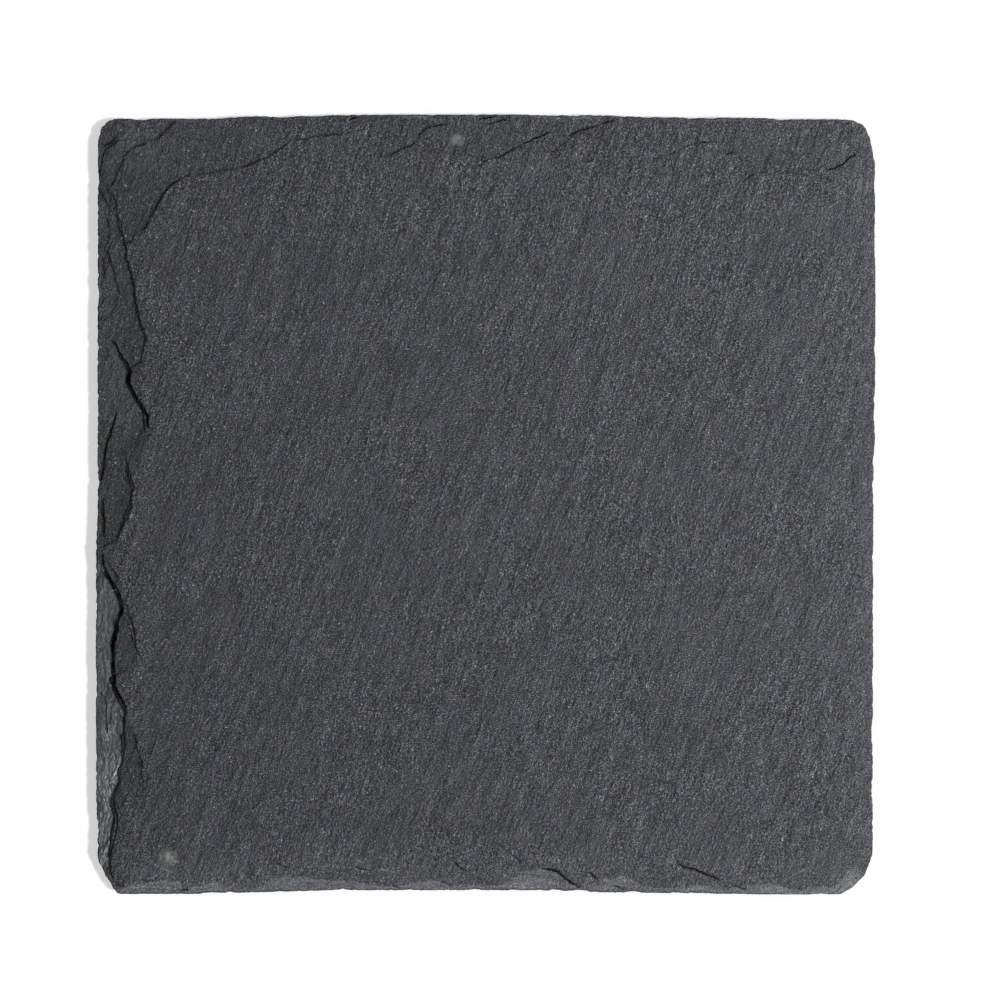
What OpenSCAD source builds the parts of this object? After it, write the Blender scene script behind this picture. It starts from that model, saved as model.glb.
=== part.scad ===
/*
Slate drink coaster.
A square slab of riven slate with knapped edges stands on four round foam pads.
Each pad is held to the slab by a disc of adhesive film.
The origin lies on the table, under the middle of the slab.
+X is the slab's right side, +Y its far side and +Z is up.
*/

/* [Slab] */
// Length of each side of the slab
slab_side = 100; // [85:1:130]
// Thickness of the slab
slab_thickness = 6; // [4:0.5:12]
// Corner radius, near and left
near_left_radius = 2.4; // [1:0.1:4.5]
// Corner radius, near and right
near_right_radius = 4.6; // [1:0.1:5.5]
// Corner radius, far and right
far_right_radius = 3.2; // [1:0.1:5.5]
// Corner radius, far and left
far_left_radius = 2.5; // [1:0.1:5.5]

/* [Cleavage layers] */
// Height of the step between the lowest layer and the next
first_step_height = 1.9; // [0.5:0.1:2]
// Height of the step between the middle layer and the top one
second_step_height = 3.4; // [2.2:0.1:3.8]
// How far each layer's edge stands back from the one below it
layer_setback = 0.2; // [0.05:0.05:0.6]

/* [Underside edges] */
// How far the dressed strips of the underside reach in from the edge
under_strip_width = 1.1; // [0.4:0.1:2.5]
// How high those strips rise at the edge
under_strip_rise = 0.6; // [0.2:0.1:1.5]

/* [Foot pads] */
// Diameter of each foam pad
pad_diameter = 12; // [8:0.5:20]
// Height of each foam pad
pad_height = 1.8; // [1:0.1:4]
// Radius of the soft rim round the pad's foot
pad_rim_radius = 0.4; // [0.1:0.05:0.8]
// Distance from the slab's edge to the middle of each pad
pad_inset = 14; // [11:0.5:24]

/* [Adhesive discs] */
// Thickness of the adhesive film
film_thickness = 0.2; // [0.1:0.05:0.5]
// How far the film's rim lies inside the pad's rim
film_margin = 0.2; // [0.1:0.05:1]

/* [Hidden] */

$fn = 64;

slab_bottom = pad_height + film_thickness;
slab_top = slab_bottom + slab_thickness;
half_side = slab_side / 2;
pad_reach = half_side - pad_inset;
// Points on each quarter turn of a corner, and on the pad's rim
corner_steps = 7;
rim_steps = 5;
// How far cutters run on above or below the slab, and outside it
overrun = slab_thickness;
reach = half_side;

// Each side runs anticlockwise. A row is a place along the side, from its middle,
// and how far the edge lies inside the nominal square there, both as shares of the side.
right_side_shares = [
    [-0.44, 0.004], [-0.25, 0.0035], [0.044, 0.003], [0.08, 0.001], [0.25, 0], [0.44, 0.001]
];
far_side_shares = [
    [-0.44, 0.0073], [-0.386, 0.0075], [-0.379, 0.0095], [-0.37, 0.006], [-0.353, 0.0055],
    [-0.2, 0.004], [-0.148, 0.002], [0.03, 0], [0.21, 0.002], [0.315, 0.004],
    [0.366, 0.0065], [0.44, 0.0065]
];
left_side_shares = [
    [-0.44, 0.003], [-0.21, 0.0025], [0.008, 0.0026], [0.05, 0.0006], [0.25, 0],
    [0.38, 0.0006], [0.42, 0.0022], [0.45, 0.0025]
];
near_side_shares = [
    [-0.45, 0.0017], [-0.366, 0.0017], [-0.263, 0.005], [-0.2, 0.0068], [0.07, 0.0068],
    [0.148, 0.0042], [0.25, 0.003], [0.39, 0], [0.43, 0.0005]
];

// Flake scars in the top face. A row holds the way in which the floor falls, in degrees
// anticlockwise from +X, the floor's slope in degrees, the depth of the floor at the middle
// point of its cliff, as a share of the thickness, and the cliff's line across the face,
// as shares of the side from the slab's middle.
left_scar_shares = [
    // Wide shallow flake off the far left corner, then two deeper ones inside it
    [135, 1.5, 0.07, [
        [-0.2, 0.51], [-0.233, 0.473], [-0.261, 0.455], [-0.287, 0.44], [-0.321, 0.432],
        [-0.377, 0.422], [-0.401, 0.409], [-0.418, 0.388], [-0.429, 0.366], [-0.45, 0.339],
        [-0.51, 0.3]
    ]],
    [135, 5, 0.15, [
        [-0.38, 0.51], [-0.397, 0.491], [-0.419, 0.472], [-0.447, 0.458], [-0.46, 0.446],
        [-0.469, 0.409], [-0.51, 0.385]
    ]],
    [150, 14, 0.3, [
        [-0.45, 0.51], [-0.472, 0.467], [-0.49, 0.455], [-0.494, 0.424], [-0.51, 0.41]
    ]],
    // Long curved crack and the terraces between it and the edge
    [180, 5, 0.14, [
        [-0.51, 0.42], [-0.481, 0.404], [-0.472, 0.369], [-0.464, 0.346], [-0.46, 0.325],
        [-0.451, 0.287], [-0.445, 0.249], [-0.433, 0.204], [-0.44, 0.183], [-0.47, 0.165],
        [-0.51, 0.15]
    ]],
    [180, 10, 0.25, [
        [-0.51, 0.41], [-0.495, 0.406], [-0.482, 0.378], [-0.48, 0.345], [-0.485, 0.325],
        [-0.474, 0.285], [-0.468, 0.269], [-0.48, 0.238], [-0.51, 0.222]
    ]],
    [180, 15, 0.36, [
        [-0.51, 0.335], [-0.49, 0.321], [-0.49, 0.289], [-0.488, 0.266], [-0.51, 0.245]
    ]],
    // Deep notch above the middle
    [180, 7, 0.21, [
        [-0.51, 0.228], [-0.481, 0.213], [-0.467, 0.192], [-0.455, 0.172], [-0.451, 0.145],
        [-0.438, 0.125], [-0.433, 0.095], [-0.443, 0.075], [-0.463, 0.064], [-0.51, 0.05]
    ]],
    [180, 12, 0.34, [
        [-0.51, 0.139], [-0.474, 0.121], [-0.482, 0.087], [-0.488, 0.058], [-0.495, 0.023],
        [-0.51, 0.01]
    ]],
    // Middle flake
    [180, 6, 0.16, [
        [-0.51, 0.085], [-0.463, 0.064], [-0.455, 0.035], [-0.451, 0.018], [-0.454, 0],
        [-0.465, -0.028], [-0.473, -0.046], [-0.492, -0.059], [-0.51, -0.065]
    ]],
    [180, 15, 0.3, [
        [-0.51, 0.02], [-0.491, 0.009], [-0.488, -0.026], [-0.49, -0.044], [-0.51, -0.055]
    ]],
    // Longest and deepest scar, with two thin spalls above its cliff
    [180, 4, 0.05, [
        [-0.48, -0.11], [-0.459, -0.131], [-0.455, -0.148], [-0.449, -0.175],
        [-0.443, -0.192], [-0.462, -0.215], [-0.48, -0.225]
    ]],
    [180, 3, 0.05, [
        [-0.48, -0.27], [-0.457, -0.28], [-0.45, -0.295], [-0.443, -0.32], [-0.44, -0.365],
        [-0.452, -0.385], [-0.48, -0.39]
    ]],
    [180, 8, 0.24, [
        [-0.51, -0.055], [-0.492, -0.059], [-0.482, -0.093], [-0.468, -0.116],
        [-0.464, -0.136], [-0.472, -0.154], [-0.476, -0.194], [-0.476, -0.233],
        [-0.46, -0.267], [-0.464, -0.31], [-0.469, -0.355], [-0.478, -0.378],
        [-0.472, -0.406], [-0.479, -0.442], [-0.479, -0.473], [-0.472, -0.488],
        [-0.46, -0.51]
    ]]
];
far_scar_shares = [
    [90, 3, 0.07, [
        [-0.16, 0.51], [-0.15, 0.456], [-0.118, 0.451], [-0.1, 0.46], [-0.085, 0.476],
        [-0.075, 0.483], [-0.05, 0.488], [-0.03, 0.51]
    ]],
    [100, 2.5, 0.06, [
        [-0.09, 0.51], [-0.07, 0.462], [-0.035, 0.442], [-0.003, 0.44], [0.021, 0.449],
        [0.044, 0.461], [0.068, 0.472], [0.085, 0.477], [0.1, 0.51]
    ]],
    [95, 6, 0.08, [
        [0.075, 0.51], [0.093, 0.474], [0.108, 0.473], [0.125, 0.481], [0.139, 0.482],
        [0.165, 0.491], [0.18, 0.51]
    ]],
    [85, 2, 0.035, [
        [0.04, 0.51], [0.06, 0.452], [0.085, 0.449], [0.172, 0.468], [0.21, 0.51]
    ]],
    [65, 2, 0.06, [
        [0.26, 0.51], [0.29, 0.44], [0.328, 0.413], [0.346, 0.422], [0.366, 0.427],
        [0.416, 0.424], [0.455, 0.436], [0.479, 0.447], [0.51, 0.455]
    ]]
];
near_scar_shares = [
    [268, 38, 0.05, [
        [-0.51, -0.465], [-0.454, -0.479], [-0.377, -0.488], [-0.333, -0.495], [-0.32, -0.51]
    ]],
    [272, 26, 0.06, [
        [-0.325, -0.51], [-0.288, -0.487], [-0.253, -0.474], [-0.199, -0.468],
        [-0.129, -0.48], [-0.105, -0.491], [-0.09, -0.51]
    ]],
    [266, 20, 0.08, [
        [-0.12, -0.51], [-0.105, -0.486], [-0.062, -0.456], [-0.041, -0.459],
        [-0.017, -0.472], [0.017, -0.48], [0.06, -0.51]
    ]],
    [262, 14, 0.09, [
        [0.0, -0.51], [0.004, -0.464], [0.017, -0.438], [0.048, -0.459], [0.077, -0.468],
        [0.105, -0.478], [0.136, -0.495], [0.145, -0.51]
    ]],
    [274, 15, 0.07, [
        [0.14, -0.51], [0.174, -0.47], [0.198, -0.452], [0.22, -0.456], [0.249, -0.463],
        [0.288, -0.477], [0.335, -0.496], [0.345, -0.51]
    ]],
    [278, 30, 0.05, [
        [0.32, -0.51], [0.353, -0.487], [0.395, -0.478], [0.43, -0.478], [0.47, -0.51]
    ]]
];
right_scar_shares = [
    // Smooth scar across the near right corner
    [315, 3, 0.04, [
        [0.51, -0.25], [0.474, -0.275], [0.464, -0.299], [0.443, -0.374], [0.43, -0.4],
        [0.395, -0.428], [0.351, -0.463], [0.32, -0.51]
    ]],
    [312, 24, 0.12, [
        [0.51, -0.36], [0.482, -0.39], [0.462, -0.44], [0.42, -0.474], [0.38, -0.51]
    ]],
    // Bevel along the right edge
    [2, 34, 0.03, [
        [0.51, 0.47], [0.487, 0.45], [0.485, 0.3], [0.486, 0.16], [0.51, 0.1]
    ]],
    [358, 22, 0.03, [
        [0.51, 0.13], [0.482, 0.12], [0.469, 0.075], [0.468, 0.02], [0.481, -0.03],
        [0.51, -0.05]
    ]],
    [357, 32, 0.03, [
        [0.51, 0.0], [0.485, -0.02], [0.484, -0.15], [0.487, -0.3], [0.51, -0.37]
    ]]
];
// Steep narrow flakes along the far edge, and across its right corner
far_bevel_shares = [
    [92, 40, 0.06, [[-0.45, 0.51], [-0.4, 0.491], [-0.28, 0.49], [-0.2, 0.493], [-0.17, 0.51]]],
    [88, 42, 0.05, [[-0.19, 0.51], [-0.12, 0.493], [0, 0.494], [0.1, 0.49], [0.14, 0.51]]],
    [91, 36, 0.06, [[0.12, 0.51], [0.2, 0.489], [0.3, 0.487], [0.36, 0.485], [0.39, 0.51]]],
    [86, 40, 0.05, [[0.37, 0.51], [0.4, 0.486], [0.43, 0.485], [0.46, 0.485], [0.49, 0.51]]],
    [40, 38, 0.05, [[0.43, 0.51], [0.46, 0.481], [0.474, 0.47], [0.484, 0.45], [0.51, 0.43]]]
];
top_scars = concat(
    left_scar_shares, far_scar_shares, near_scar_shares, right_scar_shares, far_bevel_shares
);

// Dressed strips of the underside: the side's turn from +X, the strip's own turn away from
// the side, both in degrees, and where it starts and ends along the side, in shares of it.
under_strip_shares = [
    [0, 1.2, -0.5, -0.12], [0, -0.9, -0.16, 0.3], [0, 1.4, 0.26, 0.5],
    [90, -1, -0.5, -0.05], [90, 1.3, -0.1, 0.5],
    [180, 1, -0.5, 0.02], [180, -1.2, -0.04, 0.34], [180, 0.8, 0.3, 0.5],
    [270, 1.1, -0.5, -0.2], [270, -1, -0.24, 0.18], [270, 0.9, 0.14, 0.5]
];

// A point turned anticlockwise about the origin
function turned(point, turn) = [
    point.x * cos(turn) - point.y * sin(turn),
    point.x * sin(turn) + point.y * cos(turn)
];

// Points of one side, for an outline that stands back by setback
function side_points(shares, turn, setback) = [
    for (share = shares)
        turned([half_side - share[1] * slab_side - setback, share[0] * slab_side], turn)
];

// Points of the rounded corner after the side at turn, which meets both sides' edges
function corner_points(radius, turn, inset, next_inset) = [
    for (step = [0 : corner_steps])
        let (angle = 90 * step / corner_steps)
            turned([
                half_side - inset - radius + radius * cos(angle),
                half_side - next_inset - radius + radius * sin(angle)
            ], turn)
];

// Inset of a side's first and last points
function first_inset(shares) = shares[0][1] * slab_side;
function last_inset(shares) = shares[len(shares) - 1][1] * slab_side;

function slab_outline(setback) = let (
    sides = [right_side_shares, far_side_shares, left_side_shares, near_side_shares],
    radii = [far_right_radius, far_left_radius, near_left_radius, near_right_radius]
) [
    for (side = [0 : 3])
        let (next_side = (side + 1) % 4)
            each concat(
                side_points(sides[side], 90 * side, setback),
                corner_points(
                    radii[side], 90 * side,
                    last_inset(sides[side]) + setback,
                    first_inset(sides[next_side]) + setback
                )
            )
];

// Space that a flake left: its floor falls outwards from the cliff's line
module flake_scar(fall, slope, depth, cliff_shares) {
    cliff = cliff_shares * slab_side;
    foot = cliff[floor(len(cliff) / 2)];
    outwards = reach * [cos(fall), sin(fall)];
    outline = concat(cliff, [cliff[len(cliff) - 1] + outwards, cliff[0] + outwards]);
    translate([foot.x, foot.y, slab_top - depth])
        rotate([0, 0, fall])
            rotate([0, slope, 0])
                rotate([0, 0, -fall])
                    translate([-foot.x, -foot.y, 0])
                        linear_extrude(slab_thickness + overrun)
                            polygon(outline);
}

// Wedge that leaves one dressed strip of the underside
module under_strip(turn, yaw, start_share, end_share) {
    start = start_share * slab_side;
    run = (end_share - start_share) * slab_side;
    slope = atan(under_strip_rise / under_strip_width);
    rotate([0, 0, turn])
        translate([half_side - under_strip_width, start + run / 2, slab_bottom])
            rotate([0, 0, yaw])
                rotate([0, -slope, 0])
                    translate([-under_strip_width, -run / 2, -overrun])
                        cube([2 * under_strip_width + overrun, run, overrun]);
}

module slate_slab() {
    layers = [
        [0, slab_thickness, 2 * layer_setback],
        [0, second_step_height, layer_setback],
        [0, first_step_height, 0]
    ];
    color("darkslategray")
        difference() {
            union() {
                for (layer = layers)
                    translate([0, 0, slab_bottom + layer[0]])
                        linear_extrude(layer[1])
                            polygon(slab_outline(layer[2]));
            }
            for (scar = top_scars)
                flake_scar(scar[0], scar[1], scar[2] * slab_thickness, scar[3]);
            for (strip = under_strip_shares)
                under_strip(strip[0], strip[1], strip[2], strip[3]);
        }
}

// A corner's place under the slab: column is -1 or 1 across, row is -1 or 1 from near to far
module at_corner(column, row) {
    translate([column * pad_reach, row * pad_reach, 0])
        children();
}

// Foam disc with a soft rim round its foot
module foot_pad(column, row) {
    radius = pad_diameter / 2;
    rim_centre = radius - pad_rim_radius;
    rim = [
        for (step = [0 : rim_steps])
            let (angle = 90 * step / rim_steps)
                [
                    rim_centre + pad_rim_radius * sin(angle),
                    pad_rim_radius - pad_rim_radius * cos(angle)
                ]
    ];
    color("dimgray")
        at_corner(column, row)
            rotate_extrude()
                polygon(concat([[0, 0]], rim, [[radius, pad_height], [0, pad_height]]));
}

// Film that bonds a pad to the slab
module adhesive_disc(column, row) {
    color("gainsboro")
        at_corner(column, row)
            translate([0, 0, pad_height])
                cylinder(h = film_thickness, d = pad_diameter - 2 * film_margin);
}

slate_slab();
foot_pad(-1, -1);  // foot_pad_front_left
foot_pad(1, -1);  // foot_pad_front_right
foot_pad(-1, 1);  // foot_pad_back_left
foot_pad(1, 1);  // foot_pad_back_right
adhesive_disc(-1, -1);  // adhesive_disc_front_left
adhesive_disc(1, -1);  // adhesive_disc_front_right
adhesive_disc(-1, 1);  // adhesive_disc_back_left
adhesive_disc(1, 1);  // adhesive_disc_back_right
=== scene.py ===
"""Dresses a square riven slate coaster: its stone slab, its foam foot pads and their adhesive film."""

import logging
import math
from collections.abc import Callable
from dataclasses import dataclass, field
from enum import Enum
from typing import Any

import bmesh
import bpy
import numpy as np
from bpy.types import Material, Mesh, Node, NodeSocket, NodeTree, Object, ShaderNodeTree
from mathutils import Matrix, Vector
from mathutils.bvhtree import BVHTree


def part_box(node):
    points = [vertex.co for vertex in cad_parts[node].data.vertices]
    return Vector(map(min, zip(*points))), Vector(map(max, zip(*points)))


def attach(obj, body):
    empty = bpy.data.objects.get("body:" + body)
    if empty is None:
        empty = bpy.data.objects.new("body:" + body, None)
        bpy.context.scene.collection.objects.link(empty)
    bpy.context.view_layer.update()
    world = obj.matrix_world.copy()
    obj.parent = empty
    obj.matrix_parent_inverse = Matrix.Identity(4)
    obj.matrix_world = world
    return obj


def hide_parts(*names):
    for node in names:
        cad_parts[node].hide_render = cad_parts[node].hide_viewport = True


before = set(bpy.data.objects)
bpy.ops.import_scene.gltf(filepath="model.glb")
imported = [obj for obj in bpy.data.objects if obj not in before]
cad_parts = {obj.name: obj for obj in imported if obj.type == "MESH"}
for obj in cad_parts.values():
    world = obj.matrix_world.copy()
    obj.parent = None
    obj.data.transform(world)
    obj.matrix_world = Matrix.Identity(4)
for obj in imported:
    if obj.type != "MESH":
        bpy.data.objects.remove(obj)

LOG = logging.getLogger("slate_coaster")
MM = 0.001
ROOT_BODY = "root"

# Edges shorter than the first are dissolved, and a disc's points closer than the second are merged
SHORTEST_EDGE = 0.0005 * MM
DISC_WELD = 0.001 * MM

# Socket types of node groups and trees
FLOAT = "NodeSocketFloat"
VECTOR = "NodeSocketVector"
COLOR = "NodeSocketColor"
GEOMETRY = "NodeSocketGeometry"
MATERIAL = "NodeSocketMaterial"

Array = np.ndarray
Tone = tuple[float, float, float, float]


class Corner(Enum):
    """The four corners that stand on a pad, named as the pads are."""

    FRONT_LEFT = "front_left"
    FRONT_RIGHT = "front_right"
    BACK_LEFT = "back_left"
    BACK_RIGHT = "back_right"


class Skin(Enum):
    """The two broad faces of the slab; the value is the way in which each one faces."""

    TOP = 1
    UNDER = -1


def smooth_step(values: Array, low: float, high: float) -> Array:
    """Rises smoothly from 0 at low to 1 at high.

    Args:
        values: Numbers to shape.
        low: Where the rise starts.
        high: Where the rise ends.

    Returns:
        The shaped numbers, from 0 to 1.
    """
    share = np.clip((values - low) / (high - low), 0.0, 1.0)
    return share * share * (3.0 - 2.0 * share)


@dataclass(frozen=True)
class StoneNoise:
    """Smooth gradient noise over a plane, which is the same on every run.

    Attributes:
        seed: Number that sets this noise apart from the others.
    """

    seed: int

    def _lattice(self, column: Array, row: Array) -> Array:
        """Gives each lattice point its own turn, in radians.

        Args:
            column: Whole numbers across.
            row: Whole numbers along.

        Returns:
            A turn for each point.
        """
        mixed = (
            column.astype(np.uint32) * np.uint32(0x8DA6B343)
            ^ row.astype(np.uint32) * np.uint32(0xD8163841)
            ^ np.uint32((self.seed * 0xCB1AB31F) & 0xFFFFFFFF)
        )
        mixed ^= mixed >> np.uint32(13)
        mixed *= np.uint32(0x27D4EB2D)
        mixed ^= mixed >> np.uint32(15)
        return mixed / 2.0**32 * math.tau

    def at(self, x: Array, y: Array, wavelength: float) -> Array:
        """Samples one octave of the noise.

        Args:
            x: Places across, in metres.
            y: Places along, in metres.
            wavelength: Size of the lattice's cells, in metres.

        Returns:
            Values from about -1 to 1.
        """
        across, along = x / wavelength, y / wavelength
        column, row = np.floor(across).astype(np.int64), np.floor(along).astype(np.int64)
        u, v = across - column, along - row
        ease_u = u * u * u * (u * (6.0 * u - 15.0) + 10.0)
        ease_v = v * v * v * (v * (6.0 * v - 15.0) + 10.0)
        total = np.zeros_like(u)
        for step_u in (0, 1):
            for step_v in (0, 1):
                turn = self._lattice(column + step_u, row + step_v)
                slope = np.cos(turn) * (u - step_u) + np.sin(turn) * (v - step_v)
                weight_u = ease_u if step_u else 1.0 - ease_u
                weight_v = ease_v if step_v else 1.0 - ease_v
                total += slope * weight_u * weight_v
        return total * 1.5

    def layered(self, x: Array, y: Array, wavelength: float, octaves: int) -> Array:
        """Adds octaves of the noise, each half as long and half as strong as the last.

        Args:
            x: Places across, in metres.
            y: Places along, in metres.
            wavelength: Cell size of the longest octave, in metres.
            octaves: How many octaves to add.

        Returns:
            Values from about -1 to 1.
        """
        total = np.zeros_like(x)
        for octave in range(octaves):
            share = 0.5**octave
            total += StoneNoise(self.seed + 31 * octave).at(x, y, wavelength * share) * share
        return total


@dataclass
class SolidProbe:
    """Feels the surfaces of one CAD node with rays.

    Attributes:
        node: Name of the CAD node.
        tree: Search tree over a copy of the node's triangles.
        low: Lowest corner of the node's box.
        high: Highest corner of the node's box.
    """

    node: str
    tree: BVHTree = field(init=False)
    low: Vector = field(init=False)
    high: Vector = field(init=False)

    def __post_init__(self) -> None:
        """Builds the search tree and reads the node's box."""
        copy = bmesh.new()
        copy.from_mesh(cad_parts[self.node].data)
        self.tree = BVHTree.FromBMesh(copy)
        copy.free()
        self.low, self.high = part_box(self.node)

    def skin(self, x: Array, y: Array, face: Skin) -> Array:
        """Finds the height of the top skin or the underside at each place.

        Args:
            x: Places across, in metres.
            y: Places along, in metres.
            face: Which of the two broad faces to feel.

        Returns:
            Heights in metres, the nominal face's where a ray misses.
        """
        thickness = self.high.z - self.low.z
        nominal = self.high.z if face is Skin.TOP else self.low.z
        start = nominal + face.value * thickness
        way = Vector((0.0, 0.0, -face.value))
        heights = np.full(x.size, nominal)
        for index, (east, north) in enumerate(zip(x.flat, y.flat)):
            hit = self.tree.ray_cast(Vector((east, north, start)), way)[0]
            if hit is not None:
                heights[index] = hit.z
        return heights.reshape(x.shape)

    def outline(self, height: float, samples: int) -> Array:
        """Traces the wall at one height, anticlockwise.

        Args:
            height: Height of the trace, in metres.
            samples: How many rays to send inwards.

        Returns:
            One point per ray, as rows of x and y.
        """
        far = 2.0 * (self.high.x - self.low.x)
        points = []
        for angle in np.linspace(-math.pi, math.pi, samples, endpoint=False):
            out = Vector((math.cos(angle), math.sin(angle), 0.0))
            start = out * far + Vector((0.0, 0.0, height))
            hit = self.tree.ray_cast(start, -out)[0]
            if hit is not None:
                points.append((hit.x, hit.y))
        return np.array(points)


def even_loop(points: Array, count: int, blur: float) -> Array:
    """Spaces a closed loop's points evenly and softens its corners.

    Args:
        points: Points of the loop, as rows of x and y.
        count: How many points the result has.
        blur: Length along the loop over which it is softened, in metres.

    Returns:
        The even loop, as rows of x and y.
    """
    closed = np.vstack([points, points[:1]])
    travelled = np.concatenate([[0.0], np.cumsum(np.linalg.norm(np.diff(closed, axis=0), axis=1))])
    stations = np.linspace(0.0, travelled[-1], count, endpoint=False)
    loop = np.stack([np.interp(stations, travelled, closed[:, axis]) for axis in (0, 1)], axis=1)
    reach = max(1, round(blur / travelled[-1] * count))
    window = np.hanning(2 * reach + 3)[1:-1]
    window /= window.sum()
    blurred = np.zeros_like(loop)
    for shift, weight in zip(range(-reach, reach + 1), window):
        blurred += weight * np.roll(loop, shift, axis=0)
    return blurred


def inward_normals(loop: Array) -> Array:
    """Gives the unit vector that points into the loop at each of its points.

    Args:
        loop: Points in anticlockwise order, as rows of x and y.

    Returns:
        One unit vector per point.
    """
    along = np.roll(loop, -1, axis=0) - np.roll(loop, 1, axis=0)
    inward = np.stack([-along[:, 1], along[:, 0]], axis=1)
    return inward / np.linalg.norm(inward, axis=1, keepdims=True)


def softened(values: Array, rings: int, columns: int) -> Array:
    """Blurs values over the grid of rings and columns.

    Args:
        values: Rings by columns, closed round the columns.
        rings: How many rings the blur reaches.
        columns: How many columns it reaches.

    Returns:
        The blurred values.
    """
    result = values
    for axis, reach in ((0, rings), (1, columns)):
        window = np.hanning(2 * reach + 3)[1:-1]
        window /= window.sum()
        mode = "edge" if axis == 0 else "wrap"
        widths = [(reach, reach) if axis == side else (0, 0) for side in (0, 1)]
        wide = np.pad(result, widths, mode=mode)
        length = result.shape[axis]
        result = sum(
            weight * np.take(wide, range(shift, shift + length), axis=axis)
            for shift, weight in enumerate(window)
        )
    return result


def triangle_count(mesh: Mesh) -> int:
    """Counts a mesh's triangles."""
    return sum(len(face.vertices) - 2 for face in mesh.polygons)


def welded(mesh: Mesh, reach: float) -> Mesh:
    """Merges points that lie together and turns every face outwards.

    Args:
        mesh: The mesh to clean in place.
        reach: How far apart merged points may lie.

    Returns:
        The same mesh.
    """
    work = bmesh.new()
    work.from_mesh(mesh)
    bmesh.ops.remove_doubles(work, verts=work.verts, dist=reach)
    bmesh.ops.dissolve_degenerate(work, edges=work.edges, dist=SHORTEST_EDGE)
    bmesh.ops.recalc_face_normals(work, faces=work.faces)
    work.to_mesh(mesh)
    work.free()
    return mesh


def modified(start: Mesh, kind: str, settings: dict[str, Any], inputs: dict[str, Any]) -> Mesh:
    """Puts a mesh through one modifier.

    Args:
        start: The mesh, which is used up.
        kind: Type name of the modifier.
        settings: Properties of the modifier.
        inputs: Inputs of its tree, by socket identifier.

    Returns:
        The new mesh, under the same name.
    """
    carrier = bpy.data.objects.new("carrier", start)
    modifier = carrier.modifiers.new("build", kind)
    for name, value in settings.items():
        setattr(modifier, name, value)
    for identifier, value in inputs.items():
        modifier[identifier] = value
    bpy.context.scene.collection.objects.link(carrier)
    evaluated = carrier.evaluated_get(bpy.context.evaluated_depsgraph_get())
    built = bpy.data.meshes.new_from_object(evaluated)
    name = start.name
    bpy.data.objects.remove(carrier)
    bpy.data.meshes.remove(start)
    built.name = name
    return built


def put_in_frame(mesh: Mesh, node: str) -> Object:
    """Makes a finished mesh the piece that stands for a CAD node.

    Args:
        mesh: The finished mesh, named as the piece is.
        node: The CAD node.

    Returns:
        The piece's object.
    """
    piece = bpy.data.objects.new(mesh.name, mesh)
    bpy.context.scene.collection.objects.link(piece)
    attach(piece, ROOT_BODY)
    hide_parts(node)
    return piece


@dataclass(frozen=True)
class FlakeLine:
    """The broken edge of one lamina. The ground is lower on the left of its course.

    Attributes:
        course: Its points' x and y in turn, in millimetres from the slab's middle.
        drop: Height of the break, in millimetres.
        reach: How far the lower ground spreads before it meets the face again, in millimetres.
        crack: Extra depth of the crack at its foot, in millimetres; it also sets how dark the crack's
            painted shade is.
        width: Width of that crack in its middle, in millimetres.
        frayed: How pale its frayed upper edge is.
    """

    course: tuple[float, ...]
    drop: float
    reach: float
    crack: float = 0.0
    width: float = 0.2
    frayed: float = 0.0

    def sink(self, x: Array, y: Array) -> tuple[Array, Array, Array]:
        """Says how far the line lowers the face at each place.

        Args:
            x: Places across, in metres.
            y: Places along, in metres.

        Returns:
            Depths in metres, the painted shade along the crack at each place, and how pale the frayed edge
            makes it.
        """
        points = np.array(self.course).reshape(-1, 2) * MM
        runs = np.diff(points, axis=0)
        lengths = np.linalg.norm(runs, axis=1)
        travelled = np.concatenate([[0.0], np.cumsum(lengths)])
        margin = (self.reach + self.width) * MM
        low, high = points.min(axis=0) - margin, points.max(axis=0) + margin
        near = (x > low[0]) & (x < high[0]) & (y > low[1]) & (y < high[1])
        east, north = x[near], y[near]
        gap = np.full(east.size, np.inf)
        side, along = np.zeros(east.size), np.zeros(east.size)
        for start, run, length, before in zip(points, runs, lengths, travelled):
            off_x, off_y = east - start[0], north - start[1]
            share = np.clip((off_x * run[0] + off_y * run[1]) / length**2, 0.0, 1.0)
            away = np.hypot(off_x - share * run[0], off_y - share * run[1])
            closer = away < gap
            gap = np.where(closer, away, gap)
            side = np.where(closer, run[0] * off_y - run[1] * off_x, side)
            along = np.where(closer, before + share * length, along)
        taper = min(0.9 * MM, 0.3 * travelled[-1])
        fade = smooth_step(along, 0.0, taper) * smooth_step(travelled[-1] - along, 0.0, taper)
        fade *= np.clip(0.85 + 0.6 * StoneNoise(51).at(east, north, 1.7 * MM), 0.2, 1.3)
        gape = 0.35 * travelled[-1]
        wide = smooth_step(along, 0.0, gape) * smooth_step(travelled[-1] - along, 0.0, gape)
        width = (self.width * wide + min(self.width, 0.2) * (1.0 - wide)) * MM
        floor = self.drop * MM * (1.0 - smooth_step(gap, 0.0, self.reach * MM))
        groove = fade * (1.0 - smooth_step(gap / width, 0.55, 1.0))
        fringe = fade * self.frayed * (1.0 - smooth_step(gap, 0.12 * MM, 0.34 * MM))
        sunk, painted_crack_shade, fray = np.zeros_like(x), np.zeros_like(x), np.zeros_like(x)
        lower = side > 0.0
        sunk[near] = np.where(lower, floor * fade + groove * self.crack * MM, 0.0)
        # Painted shade along the crack's groove, on its lower side
        painted_crack_shade[near] = np.where(lower, groove * min(1.0, 0.25 + 2.2 * self.crack), 0.0)
        fray[near] = np.where(lower, 0.0, fringe)
        return sunk, painted_crack_shade, fray


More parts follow.
